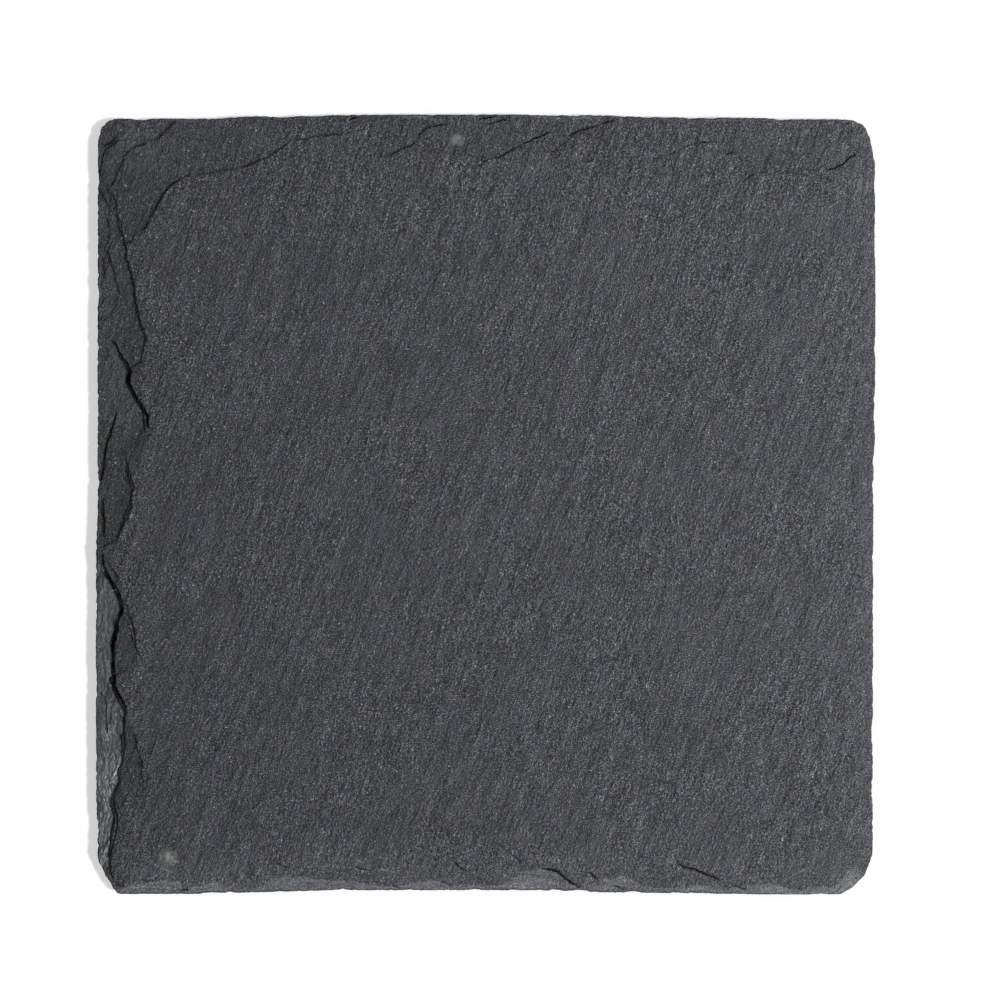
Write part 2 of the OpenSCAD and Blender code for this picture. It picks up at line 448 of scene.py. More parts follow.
# Course, drop, reach, crack, width and fray of every flake line
FLAKE_LINES = tuple(FlakeLine(*row) for row in (
    # Along the left side; the last eight are the frayed laminae of its near half
    ((-43.8, 34.6, -42.9, 36.3, -41.9, 38.3, -41.0, 39.9, -40.1, 40.8, -38.7, 41.7, -37.5, 42.1), 0.3, 3.0,
      0.22),
    ((-38.0, 41.8, -35.9, 42.2, -33.3, 42.6, -31.0, 43.0), 0.2, 3.0),
    ((-31.4, 42.9, -29.1, 43.8, -27.6, 44.4, -26.3, 45.4, -24.9, 46.3), 0.22, 2.4, 0.1),
    ((-47.9, 40.2, -47.4, 41.5, -47.0, 42.5, -46.2, 44.3, -45.7, 45.0, -44.7, 45.7, -43.1, 46.2), 0.3, 2.0,
      0.15),
    ((-43.4, 46.1, -41.9, 46.8, -41.0, 47.6, -40.1, 48.6, -39.2, 49.4), 0.24, 1.6, 0.12),
    ((-49.5, 38.9, -49.3, 40.8, -49.2, 42.7, -48.9, 44.7, -48.4, 45.4, -47.6, 46.1, -46.6, 46.7), 0.35, 1.2,
      0.16),
    ((-43.1, 20.3, -43.3, 21.2, -43.7, 22.4, -44.2, 23.5, -44.3, 24.8, -44.6, 25.7, -44.8, 27.0, -44.9, 28.5,
      -45.2, 29.5, -45.7, 30.7, -46.2, 31.6, -45.8, 32.4, -46.1, 33.6, -46.4, 35.0, -46.6, 36.2, -47.0, 36.7,
      -47.1, 38.1, -47.5, 39.3, -47.9, 40.2), 0.24, 2.2, 0.14),
    ((-47.8, 37.2, -48.3, 38.2, -48.8, 39.3, -49.3, 40.6), 0.3, 0.8, 0.15),
    ((-48.0, 35.0, -48.3, 36.2, -48.7, 37.6), 0.25, 0.7, 0.1),
    ((-47.0, 34.4, -46.9, 35.3, -47.0, 36.3), 0.2, 0.6),
    ((-46.6, 26.7, -46.9, 27.6, -47.2, 28.4, -47.5, 29.7, -47.8, 30.8, -48.0, 31.6, -48.3, 32.4, -48.0, 33.0,
      -47.6, 33.9), 0.25, 1.0, 0.1),
    ((-48.8, 28.5, -48.8, 30.2, -48.9, 32.0), 0.3, 0.5),
    ((-49.2, 25.1, -48.7, 26.5), 0.3, 0.5),
    ((-43.1, 9.4, -43.1, 11.4, -43.7, 12.4, -44.3, 13.4, -44.9, 14.4, -45.5, 15.6, -45.3, 17.1, -45.8, 18.1,
      -46.5, 19.0, -47.2, 20.3, -47.9, 21.2), 0.4, 2.2, 0.8, 0.7),
    ((-44.6, 16.9, -43.8, 18.3), 0.14, 0.8),
    ((-48.3, 18.1, -48.3, 19.4, -48.8, 20.6), 0.2, 0.8),
    ((-47.2, 14.8, -47.1, 16.6), 0.16, 0.8),
    ((-49.3, 2.3, -48.9, 4.2, -48.7, 5.7, -48.5, 7.5, -48.0, 8.7, -47.5, 10.5, -47.2, 12.0), 0.5, 1.4, 0.4,
      0.35),
    ((-45.2, 9.4, -45.2, 10.7, -44.8, 11.6), 0.12, 0.9),
    ((-47.1, -4.6, -46.9, -4.0, -46.4, -2.9, -45.8, -1.4, -45.2, -0.2, -45.2, 1.1, -44.9, 2.3, -45.3, 3.4,
      -45.8, 5.1, -46.1, 6.4), 0.2, 1.6, 0.18),
    ((-46.2, -5.9, -46.6, -4.6), 0.14, 0.8),
    ((-48.8, -4.4, -48.7, -2.6, -48.9, 0.9), 0.45, 0.7, 0.3, 0.4),
    ((-45.7, -48.8, -47.0, -48.6, -47.6, -47.8, -47.9, -46.9, -47.9, -44.6, -47.5, -43.4, -47.2, -42.4,
      -47.0, -41.0, -47.0, -40.0, -47.4, -38.7, -47.6, -37.7, -47.0, -36.3, -46.7, -35.4, -46.6, -33.7,
      -46.2, -32.3, -46.1, -30.8, -46.2, -29.4, -46.2, -27.4, -45.8, -26.7, -46.2, -25.3), 0.35, 1.6, 0.22),
    ((-45.8, -26.7, -46.2, -25.3, -46.9, -24.1, -47.4, -23.2, -47.2, -21.9, -47.4, -21.3, -47.4, -18.2,
      -47.2, -16.8, -46.9, -16.2, -47.0, -15.4, -46.7, -14.5, -46.2, -13.6, -46.4, -12.6, -46.6, -11.6,
      -47.4, -10.3, -48.0, -9.3, -48.7, -8.2, -48.8, -7.3, -49.0, -5.9), 0.6, 1.6, 0.9, 0.75),
    ((-46.5, -10.8, -46.6, -9.9, -47.4, -8.7, -48.3, -7.3), 0.2, 0.7, 0.1),
    ((-46.7, -16.2, -46.5, -15.5, -46.2, -14.3), 0.25, 0.7),
    ((-44.2, -19.1, -44.7, -18.2, -44.7, -17.1, -44.9, -16.0, -45.3, -14.8, -45.7, -13.6), 0.2, 1.0, 0.15),
    ((-43.8, -36.4, -43.9, -33.2, -44.2, -31.9, -44.6, -31.0, -44.7, -30.0, -45.1, -28.8), 0.16, 1.1, 0.12),
    ((-42.5, -46.3, -42.6, -43.1, -41.9, -40.5), 0.08, 1.4),
    ((-48.4, -29.6, -48.4, -28.3, -48.5, -27.0, -48.5, -26.0, -48.6, -25.0, -49.0, -24.1, -49.4, -23.6),
      0.14, 0.8, 0.12, 0.2, 0.6),
    ((-47.9, -28.4, -47.9, -26.5, -47.5, -25.4, -47.2, -24.5), 0.12, 0.7, 0.06, 0.2, 0.7),
    ((-48.7, -33.5, -48.9, -31.4, -49.1, -30.2, -49.3, -29.2), 0.1, 0.6, 0.06, 0.2, 0.8),
    ((-48.4, -36.1, -48.0, -35.2, -47.6, -34.3, -47.2, -33.8, -47.2, -32.4, -47.7, -31.4), 0.14, 0.8, 0.12,
      0.2, 0.85),
    ((-49.3, -39.6, -49.1, -38.2, -48.9, -37.1), 0.1, 0.6, 0.08, 0.2, 0.8),
    ((-47.8, -43.2, -47.7, -42.6, -47.55, -41.6, -47.4, -40.6, -47.6, -39.7, -47.9, -38.4), 0.12, 0.6, 0.14,
      0.2, 0.8),
    ((-49.2, -45.2, -48.9, -44.3, -48.4, -43.3, -47.9, -42.6), 0.15, 0.8, 0.16, 0.2, 0.85),
    ((-48.9, -33.9, -48.3, -35.4, -47.9, -37.3), 0.1, 0.6, 0.04, 0.2, 0.75),
    # Along the far side, from left to right
    ((-24.7, 46.4, -21.2, 47.0, -18.6, 47.3, -17.1, 48.1, -15.9, 49.3), 0.14, 2.0, 0.05),
    ((-17.5, 48.9, -16.4, 49.5, -15.3, 50.0), 0.3, 0.8, 0.4, 0.3),
    ((-12.9, 44.3, -10.9, 45.3, -9.4, 45.9, -8.6, 46.6, -8.4, 47.2, -7.5, 48.1, -6.2, 48.4, -4.5, 48.6), 0.2,
      1.8, 0.15),
    ((-0.7, 43.6, 0.6, 44.1, 1.8, 44.4, 2.9, 45.0, 4.4, 45.8, 6.3, 46.7, 8.0, 47.5, 8.7, 47.7), 0.18, 2.0,
      0.2),
    ((-1.2, 49.1, 0.1, 49.4, 1.6, 49.6), 0.3, 0.7, 0.3),
    ((-0.1, 48.4, 1.5, 48.9, 3.1, 49.3), 0.25, 0.7, 0.2),
    ((7.0, 44.8, 9.5, 45.2, 11.6, 45.7), 0.1, 1.8),
    ((10.3, 46.8, 11.7, 47.6, 13.3, 48.0, 14.6, 48.5), 0.22, 1.2, 0.2),
    ((14.6, 48.5, 15.6, 48.9, 16.9, 49.1), 0.25, 0.8, 0.12),
    ((14.5, 42.0, 14.9, 43.0, 15.5, 44.0), 0.08, 1.2),
    ((21.0, 43.8, 22.8, 44.4, 24.3, 45.0, 26.1, 45.9, 27.5, 46.2, 29.7, 46.3), 0.13, 2.0, 0.05),
    ((27.1, 41.7, 28.2, 42.2, 29.1, 42.7), 0.12, 1.2, 0.08),
    ((30.5, 44.4, 32.0, 45.3), 0.1, 1.2, 0.05),
    ((32.3, 40.9, 33.8, 41.8, 34.8, 42.4), 0.13, 1.4, 0.1),
    ((34.7, 42.2, 38.3, 42.5, 41.3, 41.8, 43.0, 42.1), 0.09, 2.2),
    ((43.5, 42.5, 44.7, 42.9, 45.5, 43.4, 46.6, 44.3, 47.6, 44.7), 0.17, 1.6, 0.35),
    ((43.0, 45.2, 43.8, 45.7, 44.4, 46.4), 0.1, 1.0, 0.06),
    ((45.9, 47.1, 47.3, 47.8, 48.6, 48.0), 0.1, 1.4),
    # Along the near side, and across the near right corner
    ((-37.8, -49.2, -39.3, -49.3), 0.3, 0.7, 0.15),
    ((-38.9, -49.2, -39.6, -48.3, -41.0, -47.9, -42.9, -48.0, -44.4, -48.6), 0.14, 1.0, 0.05),
    ((-24.6, -46.7, -25.8, -46.2, -27.0, -45.6), 0.2, 1.4, 0.08),
    ((-14.4, -46.8, -15.8, -46.5, -16.9, -46.1), 0.18, 1.2, 0.12),
    ((-10.6, -49.2, -11.5, -48.8, -12.3, -48.3), 0.25, 0.8, 0.15),
    ((-6.0, -45.6, -6.8, -44.8), 0.14, 0.9, 0.14),
    ((-1.9, -47.1, -3.1, -46.5, -4.3, -45.4), 0.18, 1.1, 0.22),
    ((4.5, -46.6, 4.5, -45.6, 3.2, -44.5, 2.2, -43.8, 1.1, -43.0), 0.14, 1.6, 0.15),
    ((12.6, -49.3, 11.0, -48.3, 9.9, -47.4, 9.3, -46.8, 8.1, -46.5, 6.7, -46.5), 0.32, 1.4, 0.35, 0.3),
    ((14.5, -48.0, 13.7, -47.2, 13.0, -46.7), 0.2, 0.9, 0.25),
    ((18.1, -49.4, 16.9, -48.8, 15.9, -48.5), 0.25, 0.6, 0.12),
    ((21.3, -45.4, 20.4, -45.1, 19.2, -44.7), 0.14, 1.3, 0.1),
    ((30.2, -48.1, 28.0, -47.1, 26.8, -46.6, 25.4, -46.3, 24.3, -45.7), 0.2, 1.3, 0.3, 0.25),
    ((33.8, -49.3, 32.5, -48.9, 31.2, -48.6), 0.25, 0.7, 0.2),
    ((-4.2, -48.8, -5.1, -48.3, -6.1, -48.0), 0.22, 0.7, 0.12),
    ((36.1, -46.3, 35.1, -46.1, 33.8, -45.7), 0.1, 1.2, 0.06),
    ((44.3, -33.7, 44.5, -37.1, 43.5, -39.2, 40.9, -42.1, 39.7, -44.2, 38.4, -46.0), 0.08, 4.0),
))


@dataclass(frozen=True)
class KnappedSide:
    """How one side of the slab was dressed with the knife.

    Attributes:
        outward: Unit vector out of the side, in plan.
        bevel_width: Width of the broken slope along the rim.
        bevel_drop: How far the rim lies below the face there.
        crispness: How sharp the scars' edges stay, from 0 to 1.
        paleness_and_painted_light: How much paler the freshly broken stone is there, partly painted light
            where the bevels face the key light, from 0 to 1.
        smoothness: How smooth and dull the ground of its scars is, from 0 to 1.
        rim_light_share: How much painted light lies along the rim, on the sides towards the key light, from
            0 to 1.
        serration: Depth of the finest teeth in the outline.
        fullness: How far the side bulges beyond the CAD outline.
        scallops: Places along the side and the slope's width there, in millimetres,
            where the width was measured.
    """

    outward: tuple[float, float]
    bevel_width: float
    bevel_drop: float
    crispness: float
    paleness_and_painted_light: float
    smoothness: float
    rim_light_share: float
    serration: float
    fullness: float
    scallops: tuple[tuple[float, float], ...] = ()


# Width of the pale slope along the near side, from left to right, in millimetres
NEAR_SCALLOPS = (
    (-47.0, 0.6), (-45.7, 1.2), (-42.9, 1.7), (-40.6, 1.7), (-38.9, 0.5), (-37.5, 0.9), (-35.6, 1.3),
    (-33.7, 1.0), (-32.3, 0.5), (-30.1, 0.5), (-29.1, 0.6), (-28.1, 1.7), (-26.5, 1.9), (-24.7, 2.0),
    (-22.4, 1.5), (-19.6, 1.3), (-16.1, 0.9), (-12.9, 0.6), (-10.9, 0.5), (-9.0, 1.0), (-7.1, 1.4),
    (-5.6, 1.3), (-4.3, 0.5), (-0.7, 0.6), (1.8, 0.5), (2.9, 1.2), (4.1, 1.9), (5.7, 2.7), (7.6, 2.7),
    (8.9, 2.4), (10.3, 1.5), (11.6, 0.4), (13.1, 0.4), (14.4, 1.0), (16.2, 1.5), (17.9, 2.2),
    (19.2, 1.5), (20.8, 0.8), (24.2, 0.5), (26.1, 0.6), (28.2, 1.2), (30.0, 1.3), (31.5, 0.5),
    (32.8, 1.0), (35.1, 1.2), (38.3, 1.5), (39.5, 0.6), (40.9, 0.6), (42.7, 0.9), (44.8, 1.2),
)

# The right and near sides face the key light: their rim band is painted light, and part of their paleness is
# painted light too
KNAPPED_SIDES = (
    KnappedSide((-1.0, 0.0), 0.55 * MM, 0.35 * MM, 0.9, 0.0, 1.0, 0.0, 0.17 * MM, 0.08 * MM),
    KnappedSide((0.0, 1.0), 0.9 * MM, 0.5 * MM, 0.12, 0.1, 0.3, 0.0, 0.11 * MM, 0.17 * MM),
    KnappedSide((1.0, 0.0), 1.4 * MM, 0.8 * MM, 0.08, 0.12, 0.2, 1.0, 0.08 * MM, 0.08 * MM),
    KnappedSide((0.0, -1.0), 1.2 * MM, 0.75 * MM, 0.1, 0.85, 0.2, 1.0, 0.11 * MM, 0.22 * MM,
                NEAR_SCALLOPS),
)

# How pale the deepest ground of the left side is: place along it in millimetres, and share
LEFT_PALENESS = (
    (-49.0, 2.9), (-33.0, 2.6), (-28.0, 1.5), (-8.0, 1.8), (-5.0, 0.1), (9.0, 0.1),
    (12.0, 0.5), (19.0, 0.5), (23.0, 0.35), (49.0, 0.35),
)

# How much of its sharpness the left side's scar edge keeps: place in millimetres, and share
LEFT_SHARPNESS = ((-49.0, 1.0), (4.5, 1.0), (6.0, 0.15), (10.5, 0.15), (11.5, 1.0), (49.0, 1.0))

# Where the near left, near right and far right corners were struck off, in millimetres
STRUCK_CORNERS = (
    ((-49.9, -45.4), (-49.6, -46.3), (-49.0, -47.6), (-47.3, -49.9)),
    ((49.4, -45.6), (48.7, -47.5), (47.2, -49.1), (45.8, -49.9)),
    ((49.7, 45.2), (49.3, 47.1), (48.7, 48.5), (47.3, 49.4)),
)


@dataclass
class SlateSlab:
    """The riven slab: cleft faces, flake scars along the edges and laminated walls.

    Attributes:
        node: CAD node that the slab stands for.
        columns: Points round the rim.
        fine_band: Width of the finely meshed band along the top's rim.
        under_band: Width of that band along the underside's rim.
        rim_light_band: Width of the band of painted light along the rim.
        fine_step: Spacing of the rings in that band.
        coarse_step: Spacing of the rings in the middle of the slab.
        ragged_coarse: How far the scars' lines wander on the scale of a flake.
        ragged_fine: How far they wander on the scale of a chip.
        edge_inset: Distance from the rim inside which the CAD skin is read on its slope.
        cleft_relief: Height of the soft waves in the cleft face.
        mica_room: How far the whole face lies below the CAD face, for the mica flakes.
        step_height: Height of one cleavage step in a scar's floor.
        flake_wander: How far the flake lines wander.
        nick_depth: Depth of the small nicks in the outline.
        nick_length: Length of the longest nicks.
        setback: How far the topmost layers stand back from the lowest.
        laminae: Least and greatest thickness of one lamina in the wall, in millimetres.
        lamina_depth: How far single laminae are broken back.
        triangles: Most triangles of the stone itself.
        weld_reach: How far apart points may lie that are merged.
        thinning_slack: How far thinning may leave a point off the surface.
        peelings: Times that flattened folds are taken off the skin.
        sharp_angle: Angle in degrees past which an edge is shaded sharp.
        mica_density: Mica flakes in a square metre.
        mica_smallest: Radius of the smallest flake.
        mica_largest: Radius of the largest flake.
        mica_thickness: Thickness of a flake as a share of its radius.
        mica_tilt: How far a flake tilts, in radians.
        mica_seed: Number that picks the flakes' places.
    """

    node: str = "slate_slab"
    columns: int = 2000
    fine_band: float = 10.0 * MM
    under_band: float = 2.5 * MM
    rim_light_band: float = 8.5 * MM
    fine_step: float = 0.13 * MM
    coarse_step: float = 2.0 * MM
    ragged_coarse: float = 0.24 * MM
    ragged_fine: float = 0.09 * MM
    edge_inset: float = 0.55 * MM
    cleft_relief: float = 0.04 * MM
    mica_room: float = 0.03 * MM
    step_height: float = 0.16 * MM
    flake_wander: float = 0.07 * MM
    nick_depth: float = 0.25 * MM
    nick_length: float = 3.5 * MM
    setback: float = 0.36 * MM
    laminae: tuple[float, float] = (0.16, 0.5)
    lamina_depth: float = 0.2 * MM
    triangles: int = 176_000
    weld_reach: float = 0.002 * MM
    thinning_slack: float = 0.03 * MM
    peelings: int = 3
    sharp_angle: float = 38.0
    mica_density: float = 1.3e5
    mica_smallest: float = 0.03 * MM
    mica_largest: float = 0.105 * MM
    mica_thickness: float = 0.14
    mica_tilt: float = 0.1
    mica_seed: int = 5
    probe: SolidProbe = field(init=False)
    rim: Array = field(init=False)
    inward: Array = field(init=False)

    def __post_init__(self) -> None:
        """Traces the slab's outline, nicks it and keeps its inward normals."""
        self.probe = SolidProbe(self.node)
        trace_height = self.probe.low.z + 0.22 * self.thickness
        loop = even_loop(self.probe.outline(trace_height, 3600), self.columns, 0.6 * MM)
        self.inward = inward_normals(loop)
        fuller = self._struck(loop - self.inward * self._by_side("fullness")[:, None])
        loop = even_loop(fuller, self.columns, 0.6 * MM)
        self.inward = inward_normals(loop)
        chips = StoneNoise(3).layered(loop[:, 0], loop[:, 1], self.nick_length, 4) - 0.1
        teeth = np.abs(StoneNoise(4).layered(loop[:, 0], loop[:, 1], 0.9 * MM, 2))
        nick = self.nick_depth * np.clip(chips, 0.0, None) + self._by_side("serration") * teeth
        self.rim = loop + self.inward * nick[:, None]

    @property
    def thickness(self) -> float:
        """Thickness of the slab in metres."""
        return self.probe.high.z - self.probe.low.z

    def _struck(self, loop: Array) -> Array:
        """Cuts corners back to the lines along which they were struck off.

        Args:
            loop: Points of the outline, as rows of x and y.

        Returns:
            The same points, none of them beyond those lines.
        """
        for corner in STRUCK_CORNERS:
            cut = np.array(corner) * MM
            for start, end in zip(cut, cut[1:]):
                along = (end - start) / np.linalg.norm(end - start)
                outward = np.array([along[1], -along[0]])
                outward *= np.sign(outward @ start)
                beyond = np.clip((loop - start) @ outward, 0.0, None)
                near = np.hypot(*(loop - (start + end) / 2.0).T) < 3.0 * np.linalg.norm(end - start)
                loop = loop - (beyond * near)[:, None] * outward
        return loop

    def _ring_distances(self, fine_band: float) -> Array:
        """Spaces the rings from the rim to the middle: close together first, then wider.

        Args:
            fine_band: Width of the finely meshed band.

        Returns:
            Distances from the rim in metres, from 0 upwards, without the middle itself.
        """
        half = self.probe.high.x
        distances = [0.0]
        step = self.fine_step
        while distances[-1] + step < half - 0.5 * step:
            distances.append(distances[-1] + step)
            if distances[-1] > fine_band:
                step = min(step * 1.15, self.coarse_step)
        return np.array(distances)

    def _read_skin(self, places: Array, distances: Array, face: Skin) -> Array:
        """Reads the CAD skin along every ring, with the scars' lines made ragged.

        Args:
            places: Rings by columns by 2 plan places.
            distances: Each ring's distance from the rim.
            face: Which broad face is read.

        Returns:
            Heights, rings by columns.
        """
        inner = distances >= self.edge_inset
        first = int(np.argmax(inner))
        x, y = places[first:, :, 0], places[first:, :, 1]
        wander_x = self.ragged_coarse * StoneNoise(11).layered(x, y, 2.4 * MM, 2)
        wander_y = self.ragged_coarse * StoneNoise(12).layered(x, y, 2.4 * MM, 2)
        wander_x += self.ragged_fine * StoneNoise(13).layered(x, y, 0.6 * MM, 2)
        wander_y += self.ragged_fine * StoneNoise(14).layered(x, y, 0.6 * MM, 2)
        calm = smooth_step(distances[first:], 0.0, 1.2 * MM)[:, None]
        heights = self.probe.skin(x + wander_x * calm, y + wander_y * calm, face)
        ahead = int(np.searchsorted(distances[first:], self.edge_inset + 0.3 * MM))
        run = distances[first + ahead] - distances[first]
        slope = (heights[0] - heights[ahead]) / run
        slope = np.clip(face.value * slope, -0.9, 0.0) * face.value
        outer = heights[0] + slope * (distances[first] - distances[:first, None])
        return np.vstack([outer, heights])

    def _terraced(self, depth: Array, x: Array, y: Array) -> Array:
        """Breaks a scar's sloping floor into cleavage steps.

        Args:
            depth: Depth below the nominal face.
            x: Places across.
            y: Places along.

        Returns:
            The stepped depth.
        """
        wander = 0.55 * self.step_height * StoneNoise(21).layered(x, y, 3.0 * MM, 3)
        levels = (depth + wander) / self.step_height
        whole = np.floor(levels)
        rise = smooth_step(levels - whole, 0.74, 0.96)
        stepped = (whole + rise) * self.step_height - wander * 0.6
        scarred = smooth_step(depth, 0.03 * MM, 0.12 * MM)
        return depth + (stepped - depth) * scarred * 0.85

    def _by_side(self, quality: str) -> Array:
        """Spreads one quality of the knapped sides over the columns.

        Args:
            quality: Name of the quality.

        Returns:
            Its value for each column.
        """
        outward = np.array([side.outward for side in KNAPPED_SIDES])
        values = np.array([getattr(side, quality) for side in KNAPPED_SIDES])
        return values @ smooth_step(-(outward @ self.inward.T), 0.35, 0.9)

    def _crisp_share(self, x: Array, y: Array, soft: Array) -> Array:
        """Says where the scars keep the sharp edges that the CAD skin has.

        Args:
            x: Places across.
            y: Places along.
            soft: Softened heights, rings by columns.

        Returns:
            A share for each place.
        """
        places_along, shares = np.array(LEFT_SHARPNESS).T
        by_column = self._by_side("crispness") * np.interp(y[0] / MM, places_along, shares)
        inwards = np.abs(np.gradient(soft, axis=0)) / self.fine_step
        spacing = np.hypot(np.gradient(x, axis=1), np.gradient(y, axis=1))
        sideways = np.abs(np.gradient(soft, axis=1)) / spacing
        facing = inwards / (np.hypot(inwards, sideways) + 0.01)
        patchy = 0.7 + 0.5 * StoneNoise(52).at(x, y, 6.0 * MM)
        return np.clip(by_column[None, :] * smooth_step(facing, 0.7, 0.95) * patchy, 0.0, 1.0)

    def _rim_bevel(self, x: Array, y: Array, distances: Array) -> Array:
        """Breaks the rim down in scallops.

        Args:
            x: Places across.
            y: Places along.
            distances: Each ring's distance from the rim.

        Returns:
            The depth of the bevel, rings by columns.
        """
        rim_x, rim_y = x[0], y[0]
        uneven = np.abs(StoneNoise(61).layered(rim_x, rim_y, 6.5 * MM, 2))
        widths = np.maximum(self._by_side("bevel_width"), 0.9 * MM) * (0.6 + 0.9 * uneven)
        drops = np.maximum(self._by_side("bevel_drop"), 0.5 * MM) * (0.65 + 0.7 * uneven)
        for side in KNAPPED_SIDES:
            if side.scallops:
                out_x, out_y = side.outward
                belongs = smooth_step(-(self.inward @ np.array(side.outward)), 0.8, 0.95)
                places_along, measured = np.array(side.scallops).T * MM
                exact = np.interp(rim_y * out_x - rim_x * out_y, places_along, measured)
                widths += (exact - widths) * belongs
                drops += (side.bevel_drop * (0.5 + 0.5 * exact / side.bevel_width) - drops) * belongs
        ragged = 0.16 * MM * StoneNoise(62).layered(x, y, 1.1 * MM, 3)
        away = np.clip(distances[:, None] + ragged, 0.0, None)
        share = np.clip(1.0 - away / widths[None, :], 0.0, 1.0)
        return drops[None, :] * share**0.9

    def _face_rows(self, rim: Array, face: Skin, fine_band: float) -> tuple[Array, dict[str, Array]]:
        """Builds one broad face as rings from the rim inwards.

        Args:
            rim: The face's own rim, as rows of x and y.
            face: Which broad face to build.
            fine_band: Width of the finely meshed band.

        Returns:
            Rings by columns by 3 points, and the face's masks by name.
        """
        distances = self._ring_distances(fine_band)
        shrink = 1.0 - distances / self.probe.high.x
        places = rim[None, :, :] * shrink[:, None, None]
        x, y = places[:, :, 0], places[:, :, 1]
        nominal = self.probe.high.z if face is Skin.TOP else self.probe.low.z
        skin = self._read_skin(places, distances, face)
        depth = face.value * (nominal - skin)
        if face is Skin.TOP:
            depth, masks = self._broken_ground(x, y, distances, depth)
        else:
            blank = np.zeros_like(depth)
            scar = smooth_step(depth, 0.06 * MM, 0.45 * MM)
            masks = dict.fromkeys(("deep", "painted_crevice_shade", "pale", "painted_rim_light"), blank) | {"scar": scar}
        stepped = self._terraced(depth, x, y)
        waves = 1.0 + StoneNoise(31).layered(x, y, 11.0 * MM, 2)
        ripples = 1.0 + StoneNoise(32).layered(x, y, 1.3 * MM, 3)
        near_rim = smooth_step(fine_band - distances, 0.0, 0.5 * fine_band)[:, None]
        relief = self.cleft_relief * (waves + 0.6 * ripples * (0.2 * near_rim + masks["scar"]))
        if face is Skin.UNDER:
            relief *= self._clear_of_pads(x, y)
        sunk = np.clip(stepped, 0.0, None) + relief + self.mica_room
        heights = nominal - face.value * sunk
        points = np.stack([x, y, heights], axis=2)
        masks["wall"] = np.zeros_like(depth)
        return points, masks

    def _broken_ground(self, x: Array, y: Array, distances: Array,
                       depth: Array) -> tuple[Array, dict[str, Array]]:
        """Breaks the top face down along its scars, its flake lines and its rim.

        Args:
            x: Places across.
            y: Places along.
            distances: Each ring's distance from the rim.
            depth: Depth of the CAD skin below the nominal face.

        Returns:
            The broken face's depth, and its masks by name.
        """
        soft = softened(depth, 12, 28)
        ground = soft + (depth - soft) * self._crisp_share(x, y, soft)
        lowered, painted_crack_shade, frayed = self._flake_sink(x, y)
        broken = ground + lowered
        # Painted shade at the foot of each step where the ground rises inwards
        level = soft - broken
        rise = np.clip(np.vstack([level[1:], level[-1:]]) - level, 0.0, None)
        lift = smooth_step(rise, 0.07 * MM, 0.34 * MM)
        drop = self._rim_bevel(x, y, distances)
        broken = np.maximum(broken, drop) + 0.35 * np.minimum(broken, drop)
        # Paleness of the rim's bevel and of chipped ground: paler freshly broken stone, and in part painted
        # light on the near and right sides, which face the key light
        chipped = 0.3 * smooth_step(lowered, 0.02 * MM, 0.12 * MM)
        pale = np.maximum(smooth_step(drop, 0.03 * MM, 0.18 * MM), chipped)
        pale *= self._by_side("paleness_and_painted_light")
        places_along, shares = np.array(LEFT_PALENESS).T
        on_left = smooth_step(-x, 40.0 * MM, 43.0 * MM)
        deep = smooth_step(ground, 0.95 * MM, 1.3 * MM) * np.interp(y / MM, places_along, shares)
        deep *= on_left * (1.0 - pale)
        scar = self._by_side("smoothness") * smooth_step(broken, 0.06 * MM, 0.4 * MM)
        scar *= (1.0 - pale) * np.clip(1.0 - deep, 0.0, 1.0)
        # Painted shade in the cracks and at the feet of the cliffs, weaker on the paler ground
        painted_crevice_shade = np.maximum(lift, painted_crack_shade) * (1.0 - 0.5 * pale)
        pale = np.maximum(pale, frayed * (1.0 - painted_crevice_shade))
        # Painted light in a band along the rims of the sides that face the key light
        painted_rim_light = self._by_side("rim_light_share") * (1.0 - smooth_step(distances, 0.0, self.rim_light_band))[:, None]
        return broken, {"scar": scar, "deep": deep, "painted_crevice_shade": painted_crevice_shade, "pale": pale, "painted_rim_light": painted_rim_light}

    def _flake_sink(self, x: Array, y: Array) -> tuple[Array, Array, Array]:
        """Adds up how far every flake line lowers the face.

        Args:
            x: Places across.
            y: Places along.

        Returns:
            Depths in metres, the painted shade in the lines' cracks, and how pale their frayed edges make
            each place.
        """
        coarse, fine = 1.8 * MM, 0.5 * MM
        wander_x = StoneNoise(15).layered(x, y, coarse, 2) + 0.8 * StoneNoise(16).at(x, y, fine)
        wander_y = StoneNoise(17).layered(x, y, coarse, 2) + 0.8 * StoneNoise(18).at(x, y, fine)
        east, north = x + self.flake_wander * wander_x, y + self.flake_wander * wander_y
        sunk, painted_crack_shade, fray = np.zeros_like(x), np.zeros_like(x), np.zeros_like(x)
        for line in FLAKE_LINES:
            lowered, darker, paler = line.sink(east, north)
            sunk += lowered
            painted_crack_shade = np.maximum(painted_crack_shade, darker)
            fray = np.maximum(fray, paler)
        return sunk, painted_crack_shade, fray

    def _clear_of_pads(self, x: Array, y: Array) -> Array:
        """Gives 0 where an adhesive disc lies and 1 away from it.

        Args:
            x: Places across.
            y: Places along.

        Returns:
            A share for each place.
        """
        clear = np.ones_like(x)
        for corner in Corner:
            low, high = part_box(f"adhesive_disc_{corner.value}")
            centre, radius = (low + high) / 2.0, (high.x - low.x) / 2.0
            away = np.hypot(x - centre.x, y - centre.y)
            clear *= smooth_step(away, radius + 0.3 * MM, radius + 2.5 * MM)
        return clear

